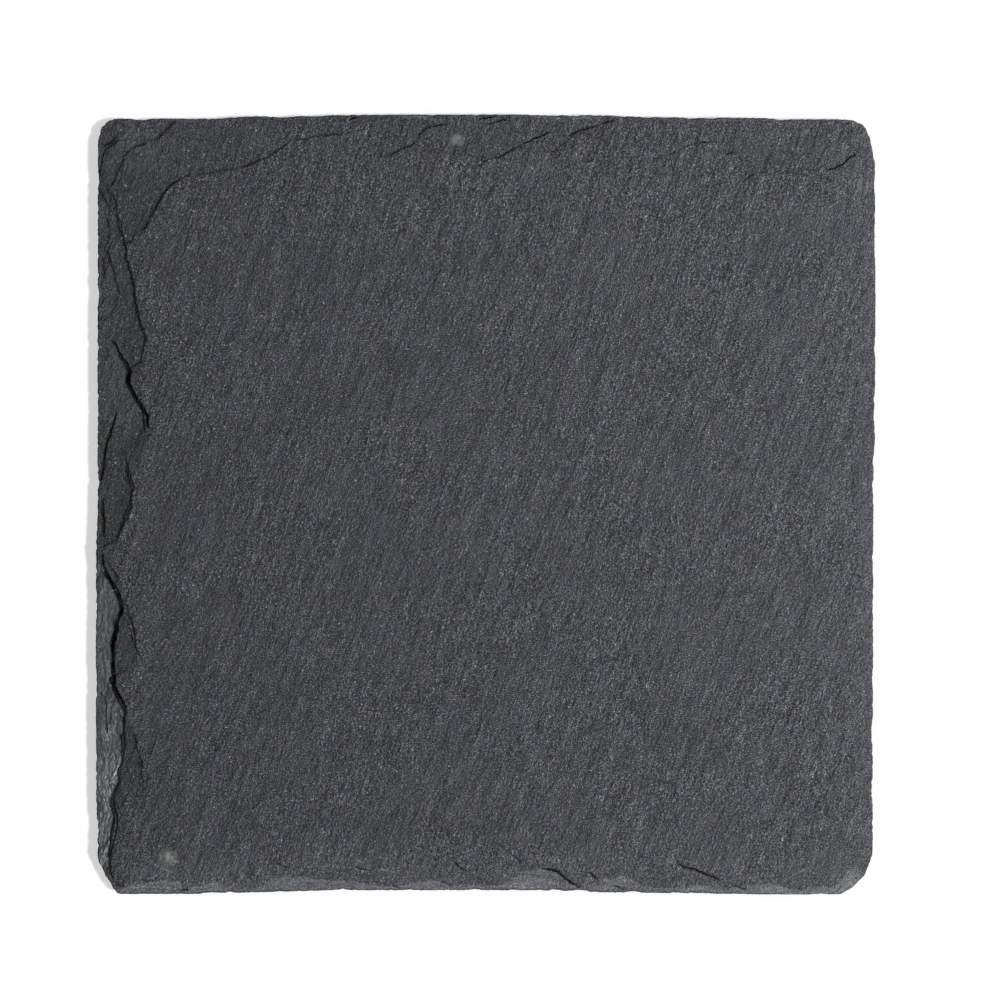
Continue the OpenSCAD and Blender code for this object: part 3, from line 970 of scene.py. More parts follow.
    def _wall_setback(self, height: Array, lamina: int) -> Array:
        """Says how far the wall stands inside the rim's loop in one lamina.

        Args:
            height: Height of each column's point, in metres.
            lamina: Number of the lamina, which picks its noise.

        Returns:
            Distances inwards, in metres.
        """
        x, y = self.rim[:, 0], self.rim[:, 1]
        share = (height - self.probe.low.z) / self.thickness
        leaning = self.setback * smooth_step(share, 0.3, 0.95)
        broken = np.clip(StoneNoise(101 + lamina).layered(x, y, 6.0 * MM, 2), 0.0, None)
        chipped = np.abs(StoneNoise(201 + lamina).layered(x, y, 1.4 * MM, 3))
        return leaning + self.lamina_depth * (0.75 * broken + 0.35 * chipped)

    def _wall_rows(self, top: Array, under: Array) -> Array:
        """Builds the laminated wall between the two faces' rims.

        Args:
            top: Heights of the top face's rim.
            under: Heights of the underside's rim.

        Returns:
            Rows by columns by 3 points, from the top down.
        """
        chooser = np.random.default_rng(7)
        x, y = self.rim[:, 0], self.rim[:, 1]
        wander = 0.1 * MM * StoneNoise(41).layered(x, y, 14.0 * MM, 3)
        rows = []
        ceiling = self.probe.high.z
        lamina = 0
        while ceiling > self.probe.low.z:
            floor = ceiling - chooser.uniform(*self.laminae) * MM
            setback = self._wall_setback(np.full_like(x, (ceiling + floor) / 2.0), lamina)
            places = self.rim + self.inward * setback[:, None]
            for level in (ceiling, floor):
                heights = np.clip(level + wander, under, top)
                rows.append(np.column_stack([places, heights]))
            ceiling = floor
            lamina += 1
        return np.stack(rows)

    def _rim_places(self, heights: Array) -> Array:
        """Places the rim of a broad face on the wall at the given heights."""
        setback = self._wall_setback(heights, 0)
        return self.rim + self.inward * setback[:, None]

    def _mesh_from_rows(self, rows: Array, masks: dict[str, Array]) -> Mesh:
        """Joins rings of points into one closed skin, with a point at each end.

        Args:
            rows: Rings by columns by 3, from the middle of the top to that of the underside.
            masks: Values at the same points, by attribute name.

        Returns:
            The closed mesh, with the masks as attributes.
        """
        count, columns, _ = rows.shape
        points = rows.reshape(-1, 3)
        poles = np.array([rows[0].mean(axis=0), rows[-1].mean(axis=0)])
        here = np.arange(count * columns).reshape(count, columns)
        onwards = np.roll(here, -1, axis=1)
        quads = np.stack([here[:-1], here[1:], onwards[1:], onwards[:-1]], axis=2).reshape(-1, 4)
        top_pole, under_pole = points.shape[0], points.shape[0] + 1
        fans = [(top_pole, int(a), int(b)) for a, b in zip(here[0], onwards[0])]
        fans += [(under_pole, int(b), int(a)) for a, b in zip(here[-1], onwards[-1])]
        mesh = bpy.data.meshes.new("slate_slab_dressed")
        mesh.from_pydata(np.vstack([points, poles]).tolist(), [], quads.tolist() + fans)
        for name, values in masks.items():
            ends = [values[0].mean(), values[-1].mean()]
            attribute = mesh.attributes.new(name, "FLOAT", "POINT")
            attribute.data.foreach_set("value", np.concatenate([values.ravel(), ends]))
        return mesh

    def _thinned(self, mesh: Mesh) -> Mesh:
        """Spends the stone's triangles where its surface bends.

        Args:
            mesh: The full mesh, which is used up.

        Returns:
            The thinner mesh.
        """
        full_skin = bmesh.new()
        full_skin.from_mesh(mesh)
        surface = BVHTree.FromBMesh(full_skin)
        full_skin.free()
        kept = min(1.0, self.triangles / triangle_count(mesh))
        thin = modified(mesh, "DECIMATE", {"ratio": kept}, {})
        for vertex in thin.vertices:
            nearest, _, _, away = surface.find_nearest(vertex.co)
            if away > self.thinning_slack:
                vertex.co = nearest
        self._keep_inside(thin)
        self._peel(thin)
        return thin

    def _peel(self, mesh: Mesh) -> None:
        """Takes off folds of the wall that were pressed flat, so that the skin is closed.

        Args:
            mesh: The thinned mesh.
        """
        work = bmesh.new()
        work.from_mesh(mesh)
        for _ in range(self.peelings):
            flaps = {edge.link_faces[0] for edge in work.edges if edge.is_boundary}
            bmesh.ops.delete(work, geom=list(flaps), context="FACES")
        work.to_mesh(mesh)
        work.free()

    def _keep_inside(self, mesh: Mesh) -> None:
        """Moves what lies outside the CAD node's box onto its sides, a hair inside them.

        Args:
            mesh: The mesh whose points are moved.
        """
        points = np.empty(3 * len(mesh.vertices))
        mesh.vertices.foreach_get("co", points)
        room = np.array((self.mica_room, self.mica_room, 0.0))
        low, high = np.array(self.probe.low) + room, np.array(self.probe.high) - room
        mesh.vertices.foreach_set("co", np.clip(points.reshape(-1, 3), low, high).ravel())

    def build(self, material: Material, mica: Material) -> None:
        """Builds the slab, sprinkles it with mica and puts it in the frame.

        Args:
            material: Finish of the stone.
            mica: Finish of its mica flakes.
        """
        top_rim = self._rim_places(np.full(self.columns, self.probe.high.z))
        top, _ = self._face_rows(top_rim, Skin.TOP, self.fine_band)
        settled = self._rim_places(top[0, :, 2])
        top, top_masks = self._face_rows(settled, Skin.TOP, self.fine_band)
        under_rim = self._rim_places(np.full(self.columns, self.probe.low.z))
        under, under_masks = self._face_rows(under_rim, Skin.UNDER, self.under_band)
        wall = self._wall_rows(top[0, :, 2], under[0, :, 2])
        rows = np.concatenate([top[::-1], wall, under])
        blank = np.zeros(wall.shape[:2])
        wall_masks = dict.fromkeys(top_masks, blank) | {"wall": blank + 1.0}
        masks = {
            name: np.concatenate([top_masks[name][::-1], wall_masks[name], under_masks[name]])
            for name in wall_masks
        }
        full = self._mesh_from_rows(rows, masks)
        self._keep_inside(full)
        mesh = self._thinned(welded(full, self.weld_reach))
        mesh.shade_smooth()
        mesh.set_sharp_from_angle(angle=math.radians(self.sharp_angle))
        mesh.materials.clear()
        mesh.materials.append(material)
        glinting = MicaTree().run(mesh, {
            "Density": self.mica_density, "Smallest": self.mica_smallest,
            "Largest": self.mica_largest, "Thickness Share": self.mica_thickness,
            "Tilt": self.mica_tilt, "Seed": self.mica_seed, "Finish": mica,
        })
        self._keep_inside(glinting)
        put_in_frame(glinting, self.node)
        LOG.info("slab: %d triangles", triangle_count(glinting))


@dataclass
class NodeBoard:
    """Places and wires the nodes of one tree.

    Attributes:
        tree: The shader or geometry tree that is built.
        placed: How many nodes it holds so far, which sets the next one's place.
    """

    tree: NodeTree
    placed: int = 0

    def add(self, kind: str, inputs: dict[Any, Any] | None = None, **settings: Any) -> Node:
        """Adds a node, sets its properties and fills its inputs.

        Args:
            kind: The node's type name.
            inputs: Values or output sockets, by input name or number.
            settings: Properties of the node.

        Returns:
            The new node.
        """
        node = self.tree.nodes.new(kind)
        node.location = (180 * (self.placed % 12), -220 * (self.placed // 12))
        self.placed += 1
        for name, value in settings.items():
            setattr(node, name, value)
        for name, value in (inputs or {}).items():
            if isinstance(value, NodeSocket):
                self.tree.links.new(value, node.inputs[name])
            else:
                node.inputs[name].default_value = value
        return node

    def maths(self, operation: str, first: Any, second: Any = 0.0, third: Any = 0.0) -> NodeSocket:
        """Adds a Math node.

        Args:
            operation: The operation's name.
            first: First value or socket.
            second: Second value or socket.
            third: Third value or socket.

        Returns:
            The result's socket.
        """
        kind = "ShaderNodeMath"
        return self.add(kind, {0: first, 1: second, 2: third}, operation=operation).outputs[0]

    def vectors(self, operation: str, first: Any, second: Any = (0.0, 0.0, 0.0)) -> NodeSocket:
        """Adds a Vector Math node.

        Args:
            operation: The operation's name.
            first: First vector or socket.
            second: Second vector or socket.

        Returns:
            The result's socket.
        """
        kind = "ShaderNodeVectorMath"
        return self.add(kind, {0: first, 1: second}, operation=operation).outputs[0]

    def spread(self, value: NodeSocket, source: tuple[float, float], result: tuple[float, float],
               smooth: bool = False) -> NodeSocket:
        """Adds a clamped Map Range node.

        Args:
            value: The value to map.
            source: Range that is read.
            result: Range that comes out.
            smooth: Whether the middle is eased.

        Returns:
            The result's socket.
        """
        kind = "SMOOTHSTEP" if smooth else "LINEAR"
        node = self.add("ShaderNodeMapRange", {0: value, 1: source[0], 2: source[1],
                                               3: result[0], 4: result[1]},
                        interpolation_type=kind)
        return node.outputs[0]

    def patches(self, place: NodeSocket, scale: float, detail: float) -> NodeSocket:
        """Adds even noise.

        Args:
            place: Where it is read.
            scale: Cells in one unit of the place.
            detail: Octaves of finer noise.

        Returns:
            The noise's value, centred on 0.
        """
        noise = self.add("ShaderNodeTexNoise", {"Vector": place, "Scale": scale, "Detail": detail,
                                                "Roughness": 0.6})
        return self.maths("SUBTRACT", noise.outputs[0], 0.5)

    def blend(self, share: Any, first: Any, second: Any) -> NodeSocket:
        """Adds a colour Mix node.

        Args:
            share: How much of the second colour shows.
            first: First colour or socket.
            second: Second colour or socket.

        Returns:
            The mixed colour's socket.
        """
        return self.add("ShaderNodeMix", {0: share, 6: first, 7: second}, data_type="RGBA").outputs[2]


def new_group(name: str, kind: str, takes: dict[str, str], gives: dict[str, str]) -> tuple[NodeBoard, Any]:
    """Starts a node group.

    Args:
        name: The group's name.
        kind: Type name of its tree.
        takes: Socket types of its inputs, by name.
        gives: Socket types of its outputs, by name.

    Returns:
        A board on its tree, and the sockets that give its inputs.
    """
    group = bpy.data.node_groups.new(name, kind)
    for way, sockets in (("OUTPUT", gives), ("INPUT", takes)):
        for socket, type_name in sockets.items():
            group.interface.new_socket(socket, in_out=way, socket_type=type_name)
    board = NodeBoard(group)
    return board, board.add("NodeGroupInput").outputs


def new_material(name: str) -> tuple[Material, NodeBoard]:
    """Starts a material.

    Args:
        name: The material's name.

    Returns:
        The material and a board on its empty tree.
    """
    made = bpy.data.materials.new(name)
    made.use_nodes = True
    made.node_tree.nodes.clear()
    return made, NodeBoard(made.node_tree)


@dataclass(frozen=True)
class Strokes:
    """One layer of drawn-out grain.

    Attributes:
        along: Length of a stroke.
        across: Width of a stroke.
        turn: Direction of the strokes, anticlockwise from +X, in degrees.
        contrast: How much darker and lighter the strokes are.
        detail: Octaves of finer grain in them.
        roughness: How strong each finer octave is.
    """

    along: float
    across: float
    turn: float
    contrast: float
    detail: float = 2.0
    roughness: float = 0.6


@dataclass(frozen=True)
class DustCoat:
    """How dust lies on a finish.

    Attributes:
        amount: How much of it shows where it is thickest.
        patch: Size of its patches.
        tone: Its colour.
    """

    amount: float
    patch: float
    tone: Tone


class SharedEffects:
    """Node groups that more than one finish uses."""

    def __init__(self) -> None:
        """Builds each group once."""
        self.grain = self._grain()
        self.dust = self._dust()

    def _grain(self) -> ShaderNodeTree:
        """Builds noise that is drawn out along one direction of the plan.

        Returns:
            The group.
        """
        board, given = new_group(
            "drawn_grain", "ShaderNodeTree",
            {"Vector": VECTOR, "Turn": FLOAT, "Along": FLOAT, "Across": FLOAT,
             "Detail": FLOAT, "Roughness": FLOAT},
            {"Value": FLOAT},
        )
        turned = board.add("ShaderNodeVectorRotate", {"Vector": given["Vector"],
                           "Angle": board.maths("MULTIPLY", given["Turn"], -1.0)},
                           rotation_type="Z_AXIS")
        parts = board.add("ShaderNodeSeparateXYZ", {0: turned.outputs[0]})
        drawn = board.add("ShaderNodeCombineXYZ", {
            0: board.maths("DIVIDE", parts.outputs[0], given["Along"]),
            1: board.maths("DIVIDE", parts.outputs[1], given["Across"]),
            2: board.maths("DIVIDE", parts.outputs[2], given["Across"]),
        })
        noise = board.add("ShaderNodeTexNoise", {
            "Vector": drawn.outputs[0], "Scale": 1.0,
            "Detail": given["Detail"], "Roughness": given["Roughness"],
        })
        board.add("NodeGroupOutput", {0: noise.outputs[0]})
        return board.tree

    def _dust(self) -> ShaderNodeTree:
        """Builds a thin uneven film of dust, in patches.

        Returns:
            The group.
        """
        board, given = new_group(
            "settled_dust", "ShaderNodeTree",
            {"Color": COLOR, "Vector": VECTOR, "Amount": FLOAT, "Patch": FLOAT, "Dust Color": COLOR},
            {"Color": COLOR},
        )
        placed = board.vectors("DIVIDE", given["Vector"], given["Patch"])
        noise = board.add("ShaderNodeTexNoise", {"Vector": placed, "Scale": 1.0,
                                                 "Detail": 4.0, "Roughness": 0.62})
        patches = board.spread(noise.outputs[0], (0.42, 0.78), (0.0, 1.0), smooth=True)
        mask = board.maths("MULTIPLY", patches, given["Amount"])
        mixed = board.blend(mask, given["Color"], given["Dust Color"])
        board.add("NodeGroupOutput", {0: mixed})
        return board.tree

    def drawn(self, board: NodeBoard, place: NodeSocket, strokes: Strokes) -> NodeSocket:
        """Places one layer of strokes in a material.

        Args:
            board: The material's board.
            place: Object coordinates.
            strokes: Their size, turn and detail.

        Returns:
            The layer's value, from 0 to 1.
        """
        values = {
            "Vector": place, "Turn": math.radians(strokes.turn), "Along": strokes.along,
            "Across": strokes.across, "Detail": strokes.detail, "Roughness": strokes.roughness,
        }
        return board.add("ShaderNodeGroup", values, node_tree=self.grain).outputs["Value"]

    def dusted(self, board: NodeBoard, place: NodeSocket, color: Any, coat: DustCoat) -> NodeSocket:
        """Lays dust over a colour in a material.

        Args:
            board: The material's board.
            place: Object coordinates.
            color: The clean colour or its socket.
            coat: How the dust lies.

        Returns:
            The dusty colour's socket.
        """
        values = {
            "Color": color, "Vector": place, "Amount": coat.amount, "Patch": coat.patch,
            "Dust Color": coat.tone,
        }
        return board.add("ShaderNodeGroup", values, node_tree=self.dust).outputs["Color"]


@dataclass(frozen=True)
class Finish:
    """A procedural finish. Each one wires its own surface, and all of them gather dust.

    Attributes:
        name: The material's name.
        coat: The dust on it.
    """

    name: str
    coat: DustCoat

    def _surface(self, board: NodeBoard, effects: SharedEffects, place: NodeSocket) -> dict[str, Any]:
        """Wires what is particular to the finish.

        Args:
            board: The material's board.
            effects: The shared node groups.
            place: Object coordinates.

        Returns:
            The shader's inputs by name, with the clean colour.
        """
        raise NotImplementedError

    def material(self, effects: SharedEffects) -> Material:
        """Builds the material.

        Args:
            effects: The shared node groups.

        Returns:
            The material.
        """
        made, board = new_material(self.name)
        place = board.add("ShaderNodeTexCoord").outputs["Object"]
        inputs = self._surface(board, effects, place)
        inputs["Base Color"] = effects.dusted(board, place, inputs["Base Color"], self.coat)
        shader = board.add("ShaderNodeBsdfPrincipled", inputs)
        board.add("ShaderNodeOutputMaterial", {"Surface": shader.outputs[0]})
        return made


@dataclass(frozen=True)
class PaleMark:
    """A pale mineral bloom or scratch on the face.

    Attributes:
        x: Its place across, in millimetres.
        y: Its place along, in millimetres.
        length: Half its length in millimetres.
        width: Half its width in millimetres.
        turn: Its direction, anticlockwise from +X, in degrees.
        strength: How much of the paler tone shows in its middle.
    """

    x: float
    y: float
    length: float
    width: float
    turn: float
    strength: float


PALE_MARKS = (
    PaleMark(-40.6, -45.1, 1.5, 1.3, 0.0, 0.9),
    PaleMark(-3.6, 46.6, 1.2, 1.0, 0.0, 0.7),
    PaleMark(-45.0, 45.4, 5.4, 4.0, 45.0, 0.075),
    PaleMark(35.7, -15.4, 0.8, 0.5, 0.0, 0.4),
    PaleMark(47.9, 40.9, 1.3, 0.28, 97.0, 0.85),
    PaleMark(48.8, 40.9, 0.8, 0.22, 82.0, 0.7),
    PaleMark(-41.1, -46.6, 2.1, 0.12, -23.0, 0.6),
    PaleMark(-16.1, -45.6, 0.9, 0.25, -14.0, 0.6),
    PaleMark(-14.7, -44.4, 0.35, 0.3, 0.0, 0.6),
    PaleMark(-13.1, -46.7, 1.1, 0.14, -4.0, 0.7),
    PaleMark(15.4, -48.0, 1.1, 0.2, -7.0, 0.75),
    PaleMark(22.8, -46.0, 0.9, 0.3, 0.0, 0.45),
    PaleMark(40.4, -46.9, 0.9, 0.2, 26.0, 0.7),
    PaleMark(7.9, -46.4, 1.0, 0.25, 8.0, 0.4),
    PaleMark(11.3, -48.9, 0.3, 0.3, 0.0, 0.7),
)


@dataclass(frozen=True)
class SlateFinish(Finish):
    """Dark blue-grey slate with a sandy, drawn-out grain.

    Attributes:
        tone: Mean colour of the cleft face.
        hue_swing: How far its red, green and blue drift from place to place.
        hue_cells: Cells of that drift in a millimetre.
        glint_tone: Colour towards which its lightest grains go.
        glint_span: Brightness at which they begin and end to do so.
        glint_share: How far they do so.
        scar_tone: Colour of the ground in the flake scars.
        edge_tone: Colour of the broken laminae in the walls and deep scars.
        bloom_tone: Colour of the pale marks.
        speck_tone: Colour of the small mineral specks.
        strokes: Layers of short strokes, finest first.
        lineation: The longer streaks, which stand up as low ridges.
        laminae: Edges of the laminae that crop out in the deepest scars.
        laminae_bend: Cells in a millimetre of the noise that bends them, and its reach.
        sand: Grains in a millimetre and contrast of each layer of sandy speckle.
        grains: Coarser grains in a millimetre, the span in millimetres between their painted lit
        and shaded sides, and the contrast of those sides.
        ridges: Broad ridges with painted relief shade, lit on the side towards the key light and shaded on
            the other.
        painted_ridge_span: Distance between those lit and shaded sides.
        painted_light_turn: Direction of the lit sides' painted light, that of the key light, anticlockwise
            from +X, in degrees.
        painted_light_drift: Painted light: how much lighter the face grows from left to right, towards the
            key light, in a millimetre.
        rim_light_drift: Share of that drift that is left in the painted rim light.
        mask_weights: How much lighter each mask makes the stone, in powers of e.
        calming: How much each mask smooths the grain away.
        calmest: Share of the grain that is left where it is smoothest.
        steepness: How far the lightest grains rise along a power of e instead of a line.
        mottle: Cells in a millimetre and contrast of the broad patches.
        bands: Cells in a millimetre, each way, of the layers that a knapped slope cuts through.
        band_contrast: Contrast of those layers.
        band_edge: Half the span of their values over which their colour changes.
        scar_share: How much of their own colour the flake scars show.
        specks: Cells in a millimetre and share of empty cells of each kind of mineral speck.
        relief: Height of the sandy grain.
        lineation_relief: Height of the longer streaks.
        roughness: Roughness of the stone and of the specks.
        gloss: Strength of its gloss.
    """

    name: str = "riven_slate"
    coat: DustCoat = DustCoat(0.006, 4.0 * MM, (0.32, 0.33, 0.32, 1.0))
    tone: Tone = (0.0443, 0.0465, 0.0541, 1.0)
    hue_swing: tuple[float, float, float] = (0.26, 0.0, 0.46)
    hue_cells: float = 0.35
    glint_tone: Tone = (0.0461, 0.0469, 0.0484, 1.0)
    glint_span: tuple[float, float] = (0.9, 3.4)
    glint_share: float = 0.75
    scar_tone: Tone = (0.0431, 0.0461, 0.0491, 1.0)
    edge_tone: Tone = (0.056, 0.0635, 0.0645, 1.0)
    bloom_tone: Tone = (0.24, 0.25, 0.24, 1.0)
    speck_tone: Tone = (0.28, 0.29, 0.31, 1.0)
    strokes: tuple[Strokes, ...] = (
        Strokes(0.8 * MM, 0.15 * MM, 76.0, 2.9),
        Strokes(2.0 * MM, 0.3 * MM, 70.0, 0.8, detail=0.0),
    )
    lineation: Strokes = Strokes(5.0 * MM, 0.7 * MM, 69.0, 1.35)
    laminae: Strokes = Strokes(6.0 * MM, 0.21 * MM, 89.0, 2.9)
    laminae_bend: tuple[float, float] = (0.22, 3.0 * MM)
    sand: tuple[tuple[float, float], ...] = ((7.8, 8.6), (5.0, 2.9))
    grains: tuple[float, float, float] = (3.0, 0.128, 2.8)
    ridges: Strokes = Strokes(8.0 * MM, 2.0 * MM, 70.0, 0.85)
    painted_ridge_span: float = 0.5 * MM
    painted_light_turn: float = -14.0
    painted_light_drift: float = 0.0056
    rim_light_drift: float = 0.4
    # Painted shade darkens the cracks and cliff feet; painted light lightens the rims that face the key
    # light, and part of the paleness is painted light too
    mask_weights: tuple[tuple[str, float], ...] = (
        ("scar", -0.12), ("deep", 0.35), ("pale", 0.8), ("painted_rim_light", 0.38), ("painted_crevice_shade", -2.4),
        ("wall", 0.5),
    )
    calming: tuple[tuple[str, float], ...] = (
        ("deep", 1.0), ("pale", 1.0), ("scar", 0.3), ("painted_rim_light", 0.35), ("wall", 0.8),
    )
    calmest: float = 0.35
    steepness: float = 0.35
    mottle: tuple[float, float] = (0.09, 0.12)
    bands: tuple[float, float, float] = (0.12, 0.12, 6.0)
    band_contrast: float = 2.4
    band_edge: float = 0.15
    scar_share: float = 0.8
    specks: tuple[tuple[float, float], ...] = ((1.5, 0.76), (3.1, 0.84))
    relief: float = 0.02 * MM
    lineation_relief: float = 0.7 * MM
    roughness: tuple[float, float] = (0.8, 0.4)
    gloss: float = 0.3

    def _painted_relief_shade(self, board: NodeBoard, place: NodeSocket, span: float,
               read: Callable[[NodeSocket], NodeSocket]) -> NodeSocket:
        """Paints relief shade on a layer's grains: a lit side towards the key light and a shaded side away
        from it.

        Args:
            board: The material's board.
            place: Place, in the unit that the layer takes.
            span: Distance between the two sides, in the same unit.
            read: Function that gives the layer's value at a place.

        Returns:
            How much the layer falls towards the light, which paints it lit or shaded.
        """
        turn = math.radians(self.painted_light_turn)
        step = (0.5 * span * math.cos(turn), 0.5 * span * math.sin(turn), 0.0)
        ahead = read(board.vectors("ADD", place, step))
        behind = read(board.vectors("SUBTRACT", place, step))
        return board.maths("SUBTRACT", behind, ahead)

    def _specks(self, board: NodeBoard, place: NodeSocket, cells: float, empty: float) -> NodeSocket:
        """Sprinkles small specks, one in some of the cells.

        Args:
            board: The material's board.
            place: Place in millimetres.
            cells: Cells in a millimetre.
            empty: Share of the cells that stay empty.

        Returns:
            The specks' mask.
        """
        cell = board.add("ShaderNodeTexVoronoi", {"Vector": place, "Scale": cells, "Randomness": 1.0})
        near = board.spread(cell.outputs["Distance"], (0.1, 0.22), (1.0, 0.0), smooth=True)
        chance = board.add("ShaderNodeSeparateColor", {0: cell.outputs["Color"]}).outputs[0]
        share = board.spread(chance, (empty, 1.0), (0.0, 1.0))
        return board.maths("MULTIPLY", near, share)

    def _blooms(self, board: NodeBoard, place: NodeSocket) -> NodeSocket:
        """Adds up the pale marks.

        Args:
            board: The material's board.
            place: Object coordinates.

        Returns:
            The marks' mask.
        """
        ragged = board.add("ShaderNodeTexNoise", {"Vector": place, "Scale": 1.6 / MM, "Detail": 3.0})
        total: Any = 0.0
        for mark in PALE_MARKS:
            centred = board.vectors("SUBTRACT", place, (mark.x * MM, mark.y * MM, 0.0))
            turned = board.add("ShaderNodeVectorRotate", {
                "Vector": centred, "Angle": -math.radians(mark.turn)}, rotation_type="Z_AXIS")
            size = (1.0 / (mark.length * MM), 1.0 / (mark.width * MM), 0.0)
            sized = board.vectors("MULTIPLY", turned.outputs[0], size)
            away = board.add("ShaderNodeVectorMath", {0: sized}, operation="LENGTH").outputs["Value"]
            shape = board.spread(away, (0.3, 1.0), (mark.strength, 0.0), smooth=True)
            total = board.maths("ADD", shape, total)
        return board.maths("MULTIPLY", total, board.spread(ragged.outputs[0], (0.35, 0.6), (0.15, 1.0)))

    def _texture(self, board: NodeBoard, effects: SharedEffects, place: NodeSocket, in_mm: NodeSocket,
                 masks: dict[str, NodeSocket]) -> tuple[NodeSocket, NodeSocket, NodeSocket]:
        """Adds up the layers of grain.

        Args:
            board: The material's board.
            effects: The shared node groups.
            place: Object coordinates.
            in_mm: The same in millimetres.
            masks: The stone's masks by name.

        Returns:
            How much lighter or darker the grain is, in powers of e, the layers that a slope
            cuts through, and the height of the grain in millimetres.
        """
        streaks = board.maths("SUBTRACT", effects.drawn(board, place, self.lineation), 0.5)
        smoothed: Any = 0.0
        for name, share in self.calming:
            smoothed = board.maths("MAXIMUM", board.maths("MULTIPLY", masks[name], share), smoothed)
        grain: Any = 0.0
        for scale, contrast in self.sand:
            speckle = board.patches(in_mm, scale, 1.0)
            grain = board.maths("MULTIPLY_ADD", speckle, contrast, grain)
        for layer in self.strokes:
            value = board.maths("SUBTRACT", effects.drawn(board, place, layer), 0.5)
            grain = board.maths("MULTIPLY_ADD", value, layer.contrast, grain)
        grain = board.maths("MULTIPLY_ADD", streaks, self.lineation.contrast, grain)
        # Painted relief shade on the coarser grains, lit towards the key light
        per_mm, span, contrast = self.grains
        sides = self._painted_relief_shade(board, in_mm, span, lambda at: board.patches(at, per_mm, 1.0))
        grain = board.maths("MULTIPLY_ADD", sides, contrast, grain)
        # Painted relief shade on the broad ridges, lit towards the key light
        sides = self._painted_relief_shade(board, place, self.painted_ridge_span,
                            lambda at: effects.drawn(board, at, self.ridges))
        grain = board.maths("MULTIPLY_ADD", sides, self.ridges.contrast, grain)
        grain = board.maths("MULTIPLY", grain, board.spread(smoothed, (0.0, 1.0), (1.0, self.calmest)))
        cells, contrast = self.mottle
        mottle = board.patches(in_mm, cells, 3.0)
        texture = board.maths("MULTIPLY_ADD", mottle, contrast, grain)
        bands = board.patches(board.vectors("MULTIPLY", in_mm, self.bands), 1.0, 2.0)
        banding = board.maths("MULTIPLY", bands, board.maths("MAXIMUM", masks["pale"], masks["wall"]))
        texture = board.maths("MULTIPLY_ADD", banding, self.band_contrast, texture)
        cells, reach = self.laminae_bend
        bend = board.add("ShaderNodeTexNoise", {"Vector": in_mm, "Scale": cells, "Detail": 1.0})
        bent = board.vectors("ADD", place, board.vectors("MULTIPLY", bend.outputs["Color"], (reach,) * 3))
        outcrop = board.maths("SUBTRACT", effects.drawn(board, bent, self.laminae), 0.5)
        outcrop = board.maths("MULTIPLY", outcrop, masks["deep"])
        texture = board.maths("MULTIPLY_ADD", outcrop, self.laminae.contrast, texture)
        height = board.maths("MULTIPLY", speckle, self.relief / MM)
        height = board.maths("MULTIPLY_ADD", streaks, self.lineation_relief / MM, height)
        return texture, bands, height

    def _color(self, board: NodeBoard, in_mm: NodeSocket, texture: NodeSocket, bands: NodeSocket,
               masks: dict[str, NodeSocket]) -> NodeSocket:
        """Mixes the stone's colour from its grain, its drifts and its masks.

        Args:
            board: The material's board.
            in_mm: Place in millimetres.
            texture: How much lighter or darker the grain is, in powers of e.
            bands: The layers that a slope cuts through.
            masks: The stone's masks by name.

        Returns:
            The colour's socket.
        """
        darker = board.maths("EXPONENT", board.maths("MINIMUM", texture, 0.0))
        above = board.maths("MAXIMUM", texture, 0.0)
        steep = board.maths("SUBTRACT", board.maths("EXPONENT", above), 1.0)
        lighter = board.maths("MULTIPLY_ADD", board.maths("SUBTRACT", steep, above), self.steepness, above)
        # Painted light: the face grows lighter from left to right towards the key light, less so within the
        # painted rim light
        across = board.add("ShaderNodeSeparateXYZ", {0: in_mm}).outputs[0]
        outside_rim_light = board.spread(masks["painted_rim_light"], (0.0, 1.0), (1.0, self.rim_light_drift))
        level = board.maths("MULTIPLY", board.maths("MULTIPLY", across, outside_rim_light), self.painted_light_drift)
        for name, weight in self.mask_weights:
            level = board.maths("MULTIPLY_ADD", masks[name], weight, level)
        grown = board.maths("EXPONENT", level)
        brightness = board.maths("MULTIPLY", board.maths("ADD", darker, lighter), grown)
        hues = board.add("ShaderNodeTexNoise", {"Vector": in_mm, "Scale": self.hue_cells, "Detail": 3.0})
        swing = board.vectors("SUBTRACT", hues.outputs["Color"], (0.5, 0.5, 0.5))
        swing = board.vectors("ADD", board.vectors("MULTIPLY", swing, self.hue_swing), (1.0, 1.0, 1.0))
        body = board.vectors("MULTIPLY", swing, self.tone[:3])
        body = board.blend(board.maths("MULTIPLY", masks["scar"], self.scar_share), body, self.scar_tone)
        layer = board.spread(bands, (-self.band_edge, self.band_edge), (0.0, 1.0))
        edge = board.blend(layer, self.tone, self.edge_tone)
        body = board.blend(board.maths("MAXIMUM", masks["wall"], masks["deep"]), body, edge)
        glint = board.spread(brightness, self.glint_span, (0.0, self.glint_share))
        body = board.blend(glint, body, self.glint_tone)
        grey = board.add("ShaderNodeCombineXYZ", {0: brightness, 1: brightness, 2: brightness})
        return board.vectors("MULTIPLY", body, grey.outputs[0])

